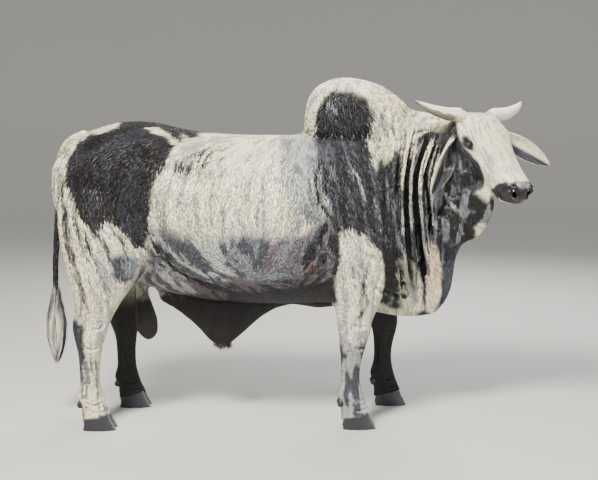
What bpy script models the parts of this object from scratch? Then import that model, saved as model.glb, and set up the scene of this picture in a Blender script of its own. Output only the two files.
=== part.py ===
"""A Brahman bull, life size, standing with its head turned to its right. Metres, +Z up, nose towards +X."""
import math
import random

import bmesh
import bpy
import numpy as np
from mathutils import Matrix, Vector
from mathutils.bvhtree import BVHTree

# The part's origin lies on the floor under the middle of its box; this is that point in the body's own frame
MIDDLE_X = -0.0185
MIDDLE_Y = -0.0081

GAP = 0.0003
BODY_VOXEL = 0.009
HEAD_VOXEL = 0.0042
BODY_TRIANGLES = 5800
HEAD_TRIANGLES = 2300

# Trunk sections from the pin bones to the base of the neck:
# along the body, top line, under line, half width, and how much wider the top is than the bottom
TRUNK = (
    (-1.185, 1.29, 1.02, 0.120, 0.00),
    (-1.13, 1.375, 0.90, 0.190, 0.05),
    (-1.00, 1.445, 0.79, 0.245, 0.10),
    (-0.85, 1.482, 0.71, 0.270, 0.12),
    (-0.72, 1.480, 0.655, 0.285, 0.06),
    (-0.55, 1.440, 0.615, 0.315, -0.04),
    (-0.35, 1.420, 0.590, 0.355, -0.10),
    (-0.10, 1.415, 0.580, 0.372, -0.10),
    (0.10, 1.420, 0.585, 0.355, -0.08),
    (0.26, 1.440, 0.580, 0.320, -0.04),
    (0.40, 1.440, 0.580, 0.270, 0.00),
    (0.52, 1.400, 0.640, 0.200, 0.00),
)

# Neck sections: crest point and throat point as (x, y, z), and half width
NECK = (
    ((0.30, 0.00, 1.46), (0.42, 0.00, 0.66), 0.265),
    ((0.46, 0.00, 1.54), (0.56, 0.00, 0.76), 0.225),
    ((0.60, 0.00, 1.530), (0.66, 0.00, 0.92), 0.185),
    ((0.71, -0.01, 1.510), (0.740, -0.03, 1.03), 0.160),
    ((0.78, -0.03, 1.510), (0.815, -0.08, 1.07), 0.142),
    ((0.84, -0.07, 1.495), (0.875, -0.14, 1.11), 0.118),
)

# Hump sections from its base up: height, centre along the body, half length, half width
HUMP = (
    (1.34, 0.32, 0.300, 0.150),
    (1.44, 0.305, 0.290, 0.158),
    (1.52, 0.285, 0.268, 0.150),
    (1.58, 0.270, 0.240, 0.136),
    (1.63, 0.250, 0.195, 0.110),
    (1.665, 0.238, 0.145, 0.080),
    (1.687, 0.228, 0.080, 0.045),
)

# Dewlap sections from the throat to the brisket: root point in the neck, free edge, half thickness
DEWLAP = (
    ((0.88, -0.20, 1.22), (0.915, -0.250, 1.060), 0.036),
    ((0.84, -0.17, 1.18), (0.895, -0.215, 0.980), 0.046),
    ((0.79, -0.14, 1.13), (0.862, -0.185, 0.908), 0.050),
    ((0.73, -0.11, 1.08), (0.792, -0.145, 0.878), 0.052),
    ((0.67, -0.08, 1.02), (0.762, -0.110, 0.780), 0.056),
    ((0.63, -0.06, 0.97), (0.758, -0.085, 0.690), 0.060),
    ((0.58, -0.04, 0.92), (0.735, -0.062, 0.605), 0.062),
    ((0.52, -0.02, 0.86), (0.685, -0.040, 0.535), 0.064),
    ((0.46, -0.01, 0.82), (0.610, -0.020, 0.508), 0.066),
    ((0.40, 0.00, 0.80), (0.510, -0.010, 0.506), 0.068),
    ((0.33, 0.00, 0.76), (0.400, 0.000, 0.522), 0.070),
    ((0.24, 0.00, 0.72), (0.270, 0.000, 0.555), 0.062),
)

# Navel fold and sheath, from the brisket back to the groin: along the body, free edge height, half thickness
SHEATH = (
    (0.22, 0.560, 0.045),
    (0.08, 0.548, 0.042),
    (-0.05, 0.566, 0.036),
    (-0.18, 0.515, 0.036),
    (-0.28, 0.430, 0.040),
    (-0.365, 0.362, 0.042),
    (-0.43, 0.368, 0.040),
    (-0.50, 0.440, 0.034),
    (-0.60, 0.530, 0.030),
    (-0.70, 0.590, 0.026),
)
SHEATH_ROOT = 0.70

# Scrotum sections from the groin down: height, along the body, half length, half width
SCROTUM = (
    (0.72, -0.790, 0.030, 0.034),
    (0.62, -0.785, 0.034, 0.046),
    (0.55, -0.775, 0.046, 0.066),
    (0.48, -0.765, 0.056, 0.078),
    (0.43, -0.760, 0.050, 0.068),
    (0.408, -0.758, 0.028, 0.036),
)

# Fore leg sections: height, front, back, half width, out from the middle
FORE_LEG = (
    (1.30, 0.36, 0.16, 0.040, 0.215),
    (1.12, 0.44, 0.12, 0.085, 0.230),
    (0.94, 0.46, 0.10, 0.108, 0.228),
    (0.80, 0.440, 0.105, 0.102, 0.218),
    (0.69, 0.412, 0.130, 0.088, 0.212),
    (0.60, 0.378, 0.156, 0.075, 0.213),
    (0.52, 0.342, 0.172, 0.065, 0.216),
    (0.455, 0.332, 0.178, 0.064, 0.219),
    (0.40, 0.312, 0.184, 0.055, 0.221),
    (0.32, 0.288, 0.190, 0.043, 0.223),
    (0.22, 0.284, 0.186, 0.042, 0.225),
    (0.165, 0.298, 0.168, 0.054, 0.226),
    (0.118, 0.314, 0.190, 0.051, 0.227),
    (0.085, 0.334, 0.190, 0.057, 0.228),
    (0.040, 0.342, 0.196, 0.057, 0.228),
)
FORE_STEP = 0.200
FORE_PLACE = 0.262

# Hind leg sections, the same way
HIND_LEG = (
    (1.22, -0.82, -1.130, 0.090, 0.120),
    (1.10, -0.74, -1.165, 0.118, 0.160),
    (0.96, -0.705, -1.168, 0.128, 0.182),
    (0.84, -0.710, -1.148, 0.120, 0.194),
    (0.74, -0.765, -1.122, 0.102, 0.200),
    (0.65, -0.838, -1.098, 0.080, 0.205),
    (0.57, -0.892, -1.090, 0.064, 0.208),
    (0.50, -0.926, -1.102, 0.057, 0.210),
    (0.44, -0.944, -1.090, 0.057, 0.212),
    (0.37, -0.962, -1.074, 0.049, 0.214),
    (0.28, -0.970, -1.068, 0.043, 0.216),
    (0.205, -0.966, -1.068, 0.043, 0.217),
    (0.155, -0.952, -1.084, 0.054, 0.218),
    (0.110, -0.938, -1.062, 0.051, 0.219),
    (0.080, -0.918, -1.062, 0.057, 0.219),
    (0.040, -0.908, -1.056, 0.057, 0.219),
)
HIND_STEP = 0.120
HIND_PLACE = -0.990

# The two claws of each hoof: the hair line runs down from front to heel
CORONET_HEIGHT = 0.068
CORONET_SLOPE = 0.26
CLAW_HALF_WIDTH = 0.0265
CLAW_APART = 0.0300
SOLE_HALF_LENGTH = 0.080
TOE_AHEAD = 0.018
# Claw sections from the sole up: share of the height, then length and width against the sole's
CLAW = (
    (0.000, 0.93, 0.93),
    (0.006, 1.00, 1.00),
    (0.550, 0.81, 0.98),
    (1.000, 0.76, 0.97),
)
CLAW_SIDES = 14
TOE_NARROWING = 0.28
DEWCLAW_HEIGHT = 0.128
DEWCLAW_LENGTH = 0.042
DEWCLAW_APART = 0.026
DEWCLAW_LEAN = math.radians(24)

# Head: its own frame has u from the poll to the nose, v to the bull's left and w up from the face
POLL = Vector((0.850, -0.085, 1.535))
HEAD_YAW = math.radians(-58)
HEAD_PITCH = math.radians(44)
# Sections: along the face, face line, jaw line, half width, how much wider the top is than the bottom
SKULL = (
    (-0.030, -0.050, -0.150, 0.092, 0.10),
    (0.015, 0.000, -0.205, 0.130, 0.18),
    (0.075, 0.022, -0.250, 0.142, 0.18),
    (0.145, 0.028, -0.256, 0.139, 0.20),
    (0.21, 0.018, -0.238, 0.121, 0.18),
    (0.28, 0.008, -0.204, 0.099, 0.12),
    (0.35, 0.001, -0.174, 0.085, 0.06),
    (0.415, -0.004, -0.158, 0.081, 0.00),
    (0.462, -0.008, -0.152, 0.084, -0.04),
    (0.492, -0.022, -0.140, 0.078, -0.04),
    (0.508, -0.048, -0.122, 0.058, 0.00),
)
# The head's rear cut runs from behind the horns to the throat, and its lower cut passes just under the jaw
HEAD_CUT_LEAN = math.radians(20)
HEAD_CUT_BACK = -0.022
HEAD_CUT_UNDER = -0.300

EYE_RADIUS = 0.0205
EYE_PLACE = (0.168, 0.118, -0.050)
EYE_LOOK = (0.16, 0.97, 0.10)
LID_THICKNESS = 0.0042
LID_OPENING = (0.0165, 0.0090)

NOSTRIL_PLACE = (0.501, 0.046, -0.055)
NOSTRIL_RADII = (0.024, 0.0100, 0.0150)
NOSTRIL_ROLL = math.radians(28)
NOSTRIL_DROP = math.radians(20)
MOUTH_HEIGHT = -0.112
MOUTH_CORNER = (0.368, -0.140)
MOUTH_FRONT = 0.45
MOUTH_HALF_TURN = math.radians(92)
MOUTH_RADIUS = 0.0036

# Horn route from its root, back along the face, outward and up from the face, with its radius
HORN_ROOT = (0.022, 0.118, -0.014)
HORN = (
    ((0.000, 0.000, 0.000), 0.034),
    ((-0.006, 0.065, 0.000), 0.031),
    ((-0.022, 0.125, 0.004), 0.026),
    ((-0.048, 0.182, 0.008), 0.018),
    ((-0.080, 0.228, 0.014), 0.006),
)

# Ear sections from root to tip: share of the length, half width, how far the rims curl round, in degrees
EAR = (
    (0.00, 0.024, 150),
    (0.08, 0.029, 135),
    (0.20, 0.041, 98),
    (0.40, 0.053, 72),
    (0.60, 0.053, 58),
    (0.78, 0.041, 50),
    (0.92, 0.023, 44),
    (1.00, 0.006, 40),
)
EAR_ROOT = (0.084, 0.132, -0.094)
EAR_LENGTH = 0.310
EAR_THICKNESS = 0.008
EAR_THINNING = 0.45
EAR_BEND = 0.02

# Tail from its head between the pin bones down to the switch: along the body, height, radius
TAIL = (
    (-1.045, 1.410, 0.034),
    (-1.125, 1.382, 0.033),
    (-1.172, 1.300, 0.029),
    (-1.189, 1.160, 0.025),
    (-1.194, 1.020, 0.022),
    (-1.204, 0.900, 0.020),
    (-1.213, 0.780, 0.018),
    (-1.215, 0.650, 0.017),
)
# Switch of long hair at the tail's end: the height and radius that its locks fill out to
SWITCH = (
    (0.649, 0.018),
    (0.570, 0.032),
    (0.480, 0.052),
    (0.400, 0.056),
    (0.330, 0.040),
    (0.262, 0.014),
)
SWITCH_X = -1.215
SWITCH_CORE_END = 0.455
LOCKS = 18
LOCK_WIDTH = 0.023
LOCK_THICKNESS = 0.0045


def head_axes():
    u = Vector((math.cos(HEAD_PITCH) * math.cos(HEAD_YAW), math.cos(HEAD_PITCH) * math.sin(HEAD_YAW),
                -math.sin(HEAD_PITCH)))
    v = Vector((-math.sin(HEAD_YAW), math.cos(HEAD_YAW), 0))
    return Matrix((u, v, u.cross(v))).transposed()


HEAD_TURN = head_axes()


def on_head(u, v, w):
    """A point given in the head's own frame."""
    return POLL + HEAD_TURN @ Vector((u, v, w))


# Tools for making forms

def through(keys, count):
    """Rows read at even steps from a smooth curve through the key rows, whose first three values are a place."""
    keys = np.array(keys, float)
    steps = np.linalg.norm(np.diff(keys[:, :3], axis=0), axis=1)
    at = np.concatenate([[0], np.cumsum(steps)])
    slopes = np.diff(keys, axis=0) / steps[:, None]
    lean = np.empty_like(keys)
    lean[0], lean[-1] = slopes[0], slopes[-1]
    before, after = steps[:-1, None], steps[1:, None]
    lean[1:-1] = (slopes[:-1] * after + slopes[1:] * before) / (before + after)
    rows = []
    for d in np.linspace(0, at[-1], count):
        i = min(int(np.searchsorted(at, d, side="right")) - 1, len(steps) - 1)
        h = steps[i]
        t = (d - at[i]) / h
        rows.append(keys[i] * (2 * t**3 - 3 * t**2 + 1) + lean[i] * h * (t**3 - 2 * t**2 + t)
                    + keys[i + 1] * (3 * t**2 - 2 * t**3) + lean[i + 1] * h * (t**3 - t**2))
    return np.array(rows)


def mesh_object(name, points, faces):
    mesh = bpy.data.meshes.new(name)
    mesh.from_pydata([tuple(p) for p in points], [], faces)
    piece = bpy.data.objects.new(name, mesh)
    bpy.context.scene.collection.objects.link(piece)
    shell = bmesh.new()
    shell.from_mesh(mesh)
    bmesh.ops.remove_doubles(shell, verts=shell.verts, dist=1e-6)
    bmesh.ops.recalc_face_normals(shell, faces=shell.faces)
    shell.to_mesh(mesh)
    shell.free()
    return piece


def ring_faces(rings, sides):
    """Faces round a form made of equal rings, with its two ends closed."""
    faces = []
    for start in range(0, (rings - 1) * sides, sides):
        for k in range(sides):
            beside = (k + 1) % sides
            faces.append([start + k, start + beside, start + sides + beside, start + sides + k])
    faces.append(list(range(sides))[::-1])
    faces.append([(rings - 1) * sides + k for k in range(sides)])
    return faces


def side_name(name, side):
    return name + ("_left" if side > 0 else "_right")


def loft(name, sections, rings, sides, square=2.0, round_ends=0.5):
    """A closed form through sections of (upper point, lower point, half width, flare).
    square is 2 for an ellipse and more for a fuller section; round_ends is how far the ends are domed."""
    keys = []
    for upper, lower, half_width, flare in sections:
        upper, lower = np.array(upper, float), np.array(lower, float)
        keys.append([*((upper + lower) / 2), *((upper - lower) / 2), half_width, flare])
    rows = through(keys, rings)
    tangents = np.gradient(rows[:, :3], axis=0)
    angles = np.linspace(0, 2 * math.pi, sides, endpoint=False)
    across = np.sign(np.cos(angles)) * np.abs(np.cos(angles)) ** (2 / square)
    along = np.sign(np.sin(angles)) * np.abs(np.sin(angles)) ** (2 / square)
    rings_made = []
    for row, tangent in zip(rows, tangents):
        up = row[3:6]
        side = np.cross(up, tangent)
        side *= row[6] / np.linalg.norm(side)
        ring = row[:3] + np.outer(along, up) + np.outer(across * (1 + row[7] * along), side)
        rings_made.append(ring)
    if round_ends:
        def dome(ring, centre, outward, reach):
            return [centre + (ring - centre) * math.cos(a) + outward * reach * math.sin(a)
                    for a in (math.radians(35), math.radians(65))]
        ahead = tangents / np.linalg.norm(tangents, axis=1)[:, None]
        first = dome(rings_made[0], rows[0, :3], -ahead[0], rows[0, 6] * round_ends)
        last = dome(rings_made[-1], rows[-1, :3], ahead[-1], rows[-1, 6] * round_ends)
        rings_made = first[::-1] + rings_made + last
    points = np.concatenate(rings_made)
    return mesh_object(name, points, ring_faces(len(rings_made), sides))


def tube(name, route, radii, rings, sides):
    """A round form with flat ends along a route of points."""
    keys = [(*place, radius) for place, radius in zip(route, radii)]
    rows = through(keys, rings)
    tangents = np.gradient(rows[:, :3], axis=0)
    points = []
    side = None
    for row, tangent in zip(rows, tangents):
        tangent = tangent / np.linalg.norm(tangent)
        if side is None:
            side = np.cross(tangent, (0.12, 0.35, 0.93))
        side = side - tangent * (side @ tangent)
        side /= np.linalg.norm(side)
        other = np.cross(tangent, side)
        angles = np.linspace(0, 2 * math.pi, sides, endpoint=False)
        points.append(row[:3] + row[3] * (np.outer(np.cos(angles), side) + np.outer(np.sin(angles), other)))
    return mesh_object(name, np.concatenate(points), ring_faces(rings, sides))


def ellipsoid(name, centre, radii, turn=None, segments=24):
    shell = bmesh.new()
    bmesh.ops.create_uvsphere(shell, u_segments=segments, v_segments=segments // 2, radius=1)
    mesh = bpy.data.meshes.new(name)
    shell.to_mesh(mesh)
    shell.free()
    piece = bpy.data.objects.new(name, mesh)
    bpy.context.scene.collection.objects.link(piece)
    turn = turn.to_4x4() if turn else Matrix.Identity(4)
    mesh.transform(Matrix.Translation(centre) @ turn @ Matrix.Diagonal((*radii, 1)))
    return piece


def apply_modifiers(piece):
    """The object's mesh as its modifiers leave it, with the modifiers removed."""
    graph = bpy.context.evaluated_depsgraph_get()
    made = bpy.data.meshes.new_from_object(piece.evaluated_get(graph))
    piece.modifiers.clear()
    piece.data = made
    return piece


def joined(name, pieces):
    """One object of several overlapping closed forms."""
    shell = bmesh.new()
    for piece in pieces:
        shell.from_mesh(piece.data)
        bpy.data.objects.remove(piece)
    mesh = bpy.data.meshes.new(name)
    shell.to_mesh(mesh)
    shell.free()
    whole = bpy.data.objects.new(name, mesh)
    bpy.context.scene.collection.objects.link(whole)
    return whole


def fused(name, pieces, voxel):
    whole = joined(name, pieces)
    remesh = whole.modifiers.new("fuse", "REMESH")
    remesh.mode = "VOXEL"
    remesh.voxel_size = voxel
    return apply_modifiers(whole)


def vertices_of(piece):
    flat = np.empty(len(piece.data.vertices) * 3, np.float32)
    piece.data.vertices.foreach_get("co", flat)
    return flat.reshape(-1, 3).astype(float)


def normals_of(piece):
    flat = np.empty(len(piece.data.vertices) * 3, np.float32)
    piece.data.vertex_normals.foreach_get("vector", flat)
    return flat.reshape(-1, 3).astype(float)


def set_vertices(piece, points):
    piece.data.vertices.foreach_set("co", points.astype(np.float32).ravel())
    piece.data.update()


def smoothed(piece, repeats, share=None):
    """Relaxes the surface, by the share that each vertex is given."""
    if share is not None:
        group = piece.vertex_groups.new(name="relax")
        levels = np.round(np.clip(share, 0, 1), 1)
        for level in np.unique(levels):
            if level > 0:
                group.add([int(i) for i in np.nonzero(levels == level)[0]], float(level), "REPLACE")
    relax = piece.modifiers.new("relax", "SMOOTH")
    relax.factor = 0.5
    relax.iterations = repeats
    if share is not None:
        relax.vertex_group = "relax"
    apply_modifiers(piece)
    piece.vertex_groups.clear()
    return piece


def ease(x, low, high):
    t = np.clip((x - low) / (high - low), 0, 1)
    return t * t * (3 - 2 * t)


def thinned(piece, triangles):
    piece.data.calc_loop_triangles()
    fewer = piece.modifiers.new("thin", "DECIMATE")
    fewer.ratio = triangles / len(piece.data.loop_triangles)
    fewer.use_collapse_triangulate = True
    return apply_modifiers(piece)


def swell(points, normals, centre, radii, height, turn=None):
    """Raises the surface in a soft mound, or sinks it where height is negative."""
    away = points - np.array(centre)
    if turn is not None:
        away = away @ np.array(turn)
    near = np.clip(1 - ((away / np.array(radii)) ** 2).sum(1), 0, 1) ** 2
    points += normals * (height * near)[:, None]


def distance_to_route(flat, route):
    """How far each flat point is from a smooth route, and how far along the route it lies from 0 to 1."""
    keys = [(*place, 0) for place in route]
    line = through(keys, 40)[:, :2]
    best = np.full(len(flat), 1e9)
    along = np.zeros(len(flat))
    for k in range(len(line) - 1):
        start, step = line[k], line[k + 1] - line[k]
        share = np.clip(((flat - start) @ step) / (step @ step), 0, 1)
        gap = np.linalg.norm(flat - start - share[:, None] * step, axis=1)
        nearer = gap < best
        best[nearer] = gap[nearer]
        along[nearer] = (k + share[nearer]) / (len(line) - 1)
    return best, along


def crease(flat, facing, points, normals, route, width, depth, lip=0.45):
    """A furrow along a route drawn on the side view, with a rounded lip on both sides, fading at its ends.
    facing says how much of it each point takes."""
    gap, along = distance_to_route(flat, route)
    t = gap / width
    fade = np.sin(math.pi * np.clip(along, 0.001, 0.999)) ** 0.5 * facing
    shape = -np.exp(-t**2) + lip * np.exp(-((t - 1.7) / 0.8) ** 2)
    points += normals * (depth * shape * fade)[:, None]


# Flesh of the body

def body_forms():
    trunk = [((x, 0, top), (x, 0, low), half, flare) for x, top, low, half, flare in TRUNK]
    pieces = [loft("trunk", trunk, 60, 48, square=2.35, round_ends=0.35)]
    hump = [((x + length, 0, z), (x - length, 0, z), half, 0) for z, x, length, half in HUMP]
    pieces.append(loft("hump", hump, 28, 36, square=2.1, round_ends=0.3))
    sheath = [((x, 0, SHEATH_ROOT), (x, 0, edge), half, 0.25) for x, edge, half in SHEATH]
    pieces.append(loft("sheath", sheath, 50, 24, square=2.2, round_ends=0.5))
    scrotum = [((x + length, 0, z), (x - length, 0, z), half, 0) for z, x, length, half in SCROTUM]
    pieces.append(loft("scrotum", scrotum, 24, 24, square=2.2, round_ends=0.5))
    for side in (-1, 1):
        pieces.append(leg("fore", FORE_LEG, side, FORE_STEP))
        pieces.append(leg("hind", HIND_LEG, side, HIND_STEP))
    return pieces + neck_forms()


def neck_forms():
    neck = [(crest, throat, half, 0.0) for crest, throat, half in NECK]
    dewlap = [(root, edge, half, 0.40) for root, edge, half in DEWLAP]
    return [loft("neck", neck, 40, 40, square=2.1, round_ends=0.5),
            loft("dewlap", dewlap, 60, 28, square=2.3, round_ends=0.6)]


def leg(name, sections, side, step):
    """One leg; the bull's left legs stand a step ahead of its right ones."""
    rows = []
    for z, front, back, half, out in sections:
        ahead = step * (1 - float(ease(z, 0.35, 0.95))) if side > 0 else 0
        rows.append(((front + ahead, side * out, z), (back + ahead, side * out, z), half, 0))
    return loft(name, rows, 72, 28, square=2.2, round_ends=0.3)


# Rounded forms of the face on both sides, in the head's own frame: centre and radii
HEAD_BOSSES = (
    ("brow", (0.150, 0.102, -0.032), (0.060, 0.036, 0.034)),
    ("cheek", (0.120, 0.080, -0.165), (0.100, 0.048, 0.085)),
    ("horn_collar", (0.020, 0.108, -0.014), (0.040, 0.036, 0.036)),
    ("ear_collar", (0.068, 0.118, -0.078), (0.046, 0.036, 0.044)),
    ("nostril_wing", (0.474, 0.050, -0.050), (0.036, 0.028, 0.032)),
    ("chin", (0.450, 0.012, -0.142), (0.050, 0.044, 0.026)),
)


def head_forms():
    rows = [(on_head(u, 0, top), on_head(u, 0, low), half, flare) for u, top, low, half, flare in SKULL]
    pieces = [loft("skull", rows, 48, 40, square=2.4, round_ends=0.35)]
    for name, (u, v, w), radii in HEAD_BOSSES:
        for side in (-1, 1):
            pieces.append(ellipsoid(name, on_head(u, side * v, w), radii, HEAD_TURN))
    return pieces


# Furrows of the loose skin on the neck and dewlap: a route on the side view, width and depth
NECK_FOLDS = (
    (((0.505, 1.450), (0.458, 1.200), (0.462, 0.940), (0.520, 0.600)), 0.019, 0.020),
    (((0.560, 1.455), (0.502, 1.240), (0.505, 1.000), (0.575, 0.560)), 0.016, 0.023),
    (((0.612, 1.410), (0.552, 1.230), (0.566, 0.960), (0.640, 0.570)), 0.018, 0.024),
    (((0.668, 1.420), (0.606, 1.220), (0.628, 0.980), (0.690, 0.620)), 0.015, 0.018),
    (((0.720, 1.270), (0.672, 1.120), (0.700, 0.900), (0.738, 0.700)), 0.016, 0.018),
    (((0.770, 1.180), (0.748, 1.060), (0.790, 0.930)), 0.015, 0.013),
    (((0.440, 1.240), (0.404, 1.080), (0.412, 0.860), (0.450, 0.640)), 0.024, 0.014),
    (((0.540, 0.860), (0.560, 0.720), (0.600, 0.560)), 0.012, 0.012),
)
FAR_SIDE_FOLDS = 0.55

# Where muscle, bone and hollows show on both sides of the body: centre on the right side mirrored to the left
BODY_RELIEF = (
    ("shoulder blade", (0.290, 0.270, 1.150), (0.130, 0.150, 0.240), 0.016),
    ("upper arm", (0.230, 0.290, 0.860), (0.150, 0.140, 0.130), 0.016),
    ("point of shoulder", (0.440, 0.200, 0.900), (0.080, 0.100, 0.090), 0.014),
    ("hollow behind shoulder", (0.060, 0.340, 1.050), (0.070, 0.120, 0.300), -0.014),
    ("hunger hollow", (-0.520, 0.300, 1.260), (0.120, 0.120, 0.110), -0.020),
    ("barrel", (-0.200, 0.370, 0.900), (0.350, 0.150, 0.280), 0.012),
    ("thigh", (-0.950, 0.290, 1.020), (0.200, 0.120, 0.220), 0.014),
    ("stifle", (-0.745, 0.270, 0.800), (0.080, 0.110, 0.090), 0.014),
    ("second thigh", (-0.960, 0.270, 0.720), (0.070, 0.090, 0.110), 0.010),
    ("flank hollow", (-0.610, 0.290, 0.760), (0.090, 0.120, 0.120), -0.014),
    ("tail groove", (-1.215, 0.000, 1.130), (0.090, 0.060, 0.300), -0.026),
    ("hook bone", (-0.700, 0.225, 1.385), (0.110, 0.110, 0.100), 0.030),
    ("pin bone", (-1.170, 0.110, 1.270), (0.080, 0.075, 0.085), 0.022),
    ("rump hollow", (-1.000, 0.180, 1.380), (0.100, 0.120, 0.080), -0.010),
)
BODY_CREASES = (
    (((0.120, 1.300), (0.075, 1.080), (0.085, 0.860), (0.150, 0.720)), 0.035, 0.010),
    (((-0.640, 1.200), (-0.655, 1.000), (-0.640, 0.840), (-0.600, 0.720)), 0.035, 0.010),
    (((-1.080, 1.240), (-1.060, 1.000), (-1.030, 0.780)), 0.030, 0.008),
)


def side_share(normals, side):
    return ease(side * normals[:, 1], 0.05, 0.45)


def carve_neck(piece):
    points, normals = vertices_of(piece), normals_of(piece)
    for side, share in ((-1, 1.0), (1, FAR_SIDE_FOLDS)):
        facing = share * side_share(normals, side)
        for route, width, depth in NECK_FOLDS:
            crease(points[:, [0, 2]], facing, points, normals, route, width, depth)
    set_vertices(piece, points)


def carve_body(piece):
    points, normals = vertices_of(piece), normals_of(piece)
    for side in (-1, 1):
        for _, (x, y, z), radii, height in BODY_RELIEF:
            swell(points, normals, (x, side * y, z), radii, height)
        facing = side_share(normals, side)
        for route, width, depth in BODY_CREASES:
            crease(points[:, [0, 2]], facing, points, normals, route, width, depth)
    set_vertices(piece, points)


# The face in the head's own frame: centre, radii and height of each soft form, on both sides
FACE_RELIEF = (
    ("temple", (0.085, 0.125, -0.075), (0.045, 0.040, 0.040), -0.010),
    ("tear hollow", (0.215, 0.100, -0.060), (0.035, 0.035, 0.028), -0.010),
    ("cheek ridge", (0.270, 0.085, -0.085), (0.080, 0.040, 0.022), 0.008),
    ("hollow under cheek ridge", (0.300, 0.075, -0.130), (0.080, 0.040, 0.030), -0.008),
    ("upper lip", (0.455, 0.070, -0.088), (0.055, 0.040, 0.024), 0.007),
    ("jaw angle", (0.060, 0.075, -0.235), (0.050, 0.050, 0.040), 0.008),
)


def carve_head(piece):
    points, normals = vertices_of(piece), normals_of(piece)
    turn = np.array(HEAD_TURN)
    for side in (-1, 1):
        for _, (u, v, w), radii, height in FACE_RELIEF:
            swell(points, normals, on_head(u, side * v, w), radii, height, turn)
    set_vertices(piece, points)


# Joining, cutting and parting

def boolean(piece, others, operation, solver="EXACT"):
    """Joins the others to the piece, or cuts them from it, and removes them."""
    group = bpy.data.collections.new("tools")
    for other in others:
        group.objects.link(other)
    change = piece.modifiers.new("change", "BOOLEAN")
    change.operation = operation
    change.operand_type = "COLLECTION"
    change.collection = group
    change.solver = solver
    apply_modifiers(piece)
    for other in others:
        bpy.data.objects.remove(other)
    bpy.data.collections.remove(group)
    return piece


def copy_of(piece, name="copy"):
    made = piece.copy()
    made.data = piece.data.copy()
    made.name = name
    bpy.context.scene.collection.objects.link(made)
    return made


def grown(piece, by):
    """A copy whose surface stands out by this much, to cut the seat that the piece lies in."""
    made = copy_of(piece)
    set_vertices(made, vertices_of(piece) + normals_of(piece) * by)
    return made


def seated(piece, base):
    """Trims the root of a piece to lie on the surface that it grows from."""
    boolean(piece, [grown(base, GAP)], "DIFFERENCE", "MANIFOLD")
    keep_largest(piece)


def block(low, high, place=None, margin=0.0):
    """A box from its low to its high corner, in the frame that place gives."""
    shell = bmesh.new()
    bmesh.ops.create_cube(shell, size=1)
    mesh = bpy.data.meshes.new("block")
    shell.to_mesh(mesh)
    shell.free()
    piece = bpy.data.objects.new("block", mesh)
    bpy.context.scene.collection.objects.link(piece)
    low, high = Vector(low) - Vector((margin,) * 3), Vector(high) + Vector((margin,) * 3)
    fit = Matrix.Translation((low + high) / 2) @ Matrix.Diagonal((*(high - low), 1))
    mesh.transform((place if place else Matrix.Identity(4)) @ fit)
    return piece


def tilted(x, z, degrees):
    """A frame at (x, 0, z) whose own x axis is raised by the angle."""
    return Matrix.Translation((x, 0, z)) @ Matrix.Rotation(-math.radians(degrees), 4, "Y")


def head_place():
    """The frame of the cuts that free the head: its x axis leaves the neck and its z axis leaves the jaw."""
    return Matrix.Translation(POLL) @ HEAD_TURN.to_4x4() @ Matrix.Rotation(-HEAD_CUT_LEAN, 4, "Y")


def head_block(margin=0.0):
    return block((HEAD_CUT_BACK, -0.4, HEAD_CUT_UNDER), (0.8, 0.4, 0.4), head_place(), margin)


def part_regions():
    """Name and box of each node that is cut free from the trunk, in the order that they are cut."""
    regions = []
    for side in (-1, 1):
        step = FORE_STEP if side > 0 else 0
        inner, outer = sorted((side * 0.118, side * 0.45))
        back, front = 0.105 + step * 0.5, 0.47 + step
        regions.append((side_name("fore_cannon", side), (back, inner, -0.1), (front, outer, 0.395), None))
        regions.append((side_name("fore_arm", side), (back, inner, 0.38), (front, outer, 0.612), None))
        front = -0.750 + (HIND_STEP * 0.5 if side > 0 else 0)
        inner, outer = sorted((side * 0.096, side * 0.45))
        regions.append((side_name("hind_cannon", side), (-1.3, inner, -0.1), (front, outer, 0.410), None))
        regions.append((side_name("hind_thigh", side), (-1.3, inner, 0.40), (front, outer, 0.685), None))
    regions.append(("scrotum", (-0.90, -0.092, 0.3), (-0.715, 0.092, 0.640), None))
    regions.append(("sheath", (-0.90, -0.088, 0.3), (0.235, 0.088, 0.585), None))
    regions.append(("dewlap", (-0.02, -0.5, -0.7), (0.85, 0.5, 0.0), tilted(0.42, 0.620, 41)))
    regions.append(("hump", (-0.03, -0.4, 0.0), (0.66, 0.4, 0.5), tilted(-0.02, 1.424, 9)))
    regions.append(("neck", (0.0, -0.6, -0.8), (0.9, 0.6, 0.8), tilted(0.47, 1.15, 20)))
    return regions


def cut_free(whole):
    """Parts the flesh into its nodes with thin gaps; what is left of the whole is the torso."""
    for name, low, high, place in part_regions():
        piece = copy_of(whole, name)
        boolean(piece, [block(low, high, place)], "INTERSECT")
        boolean(whole, [block(low, high, place, GAP)], "DIFFERENCE")
        keep_largest(piece)
    keep_largest(whole)


def enclosed(island):
    """The volume inside one closed surface."""
    faces = {face for vert in island for face in vert.link_faces}
    total = 0
    for face in faces:
        first, *others = [loop.vert.co for loop in face.loops]
        for second, third in zip(others, others[1:]):
            total += first.cross(second).dot(third) / 6
    return abs(total)


def keep_largest(piece):
    """Removes every closed surface of a piece but the one that encloses most."""
    shell = bmesh.new()
    shell.from_mesh(piece.data)
    bmesh.ops.remove_doubles(shell, verts=shell.verts, dist=1e-6)
    left = set(shell.verts)
    islands = []
    while left:
        island, edge = set(), {left.pop()}
        while edge:
            vert = edge.pop()
            island.add(vert)
            near = {e.other_vert(vert) for e in vert.link_edges} - island
            edge |= near
        left -= island
        islands.append(island)
    islands.sort(key=enclosed)
    for island in islands[:-1]:
        bmesh.ops.delete(shell, geom=list(island), context="VERTS")
    shell.to_mesh(piece.data)
    shell.free()


def clear_scene():
    for thing in list(bpy.data.objects):
        bpy.data.objects.remove(thing)


# Parts on the head

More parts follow.
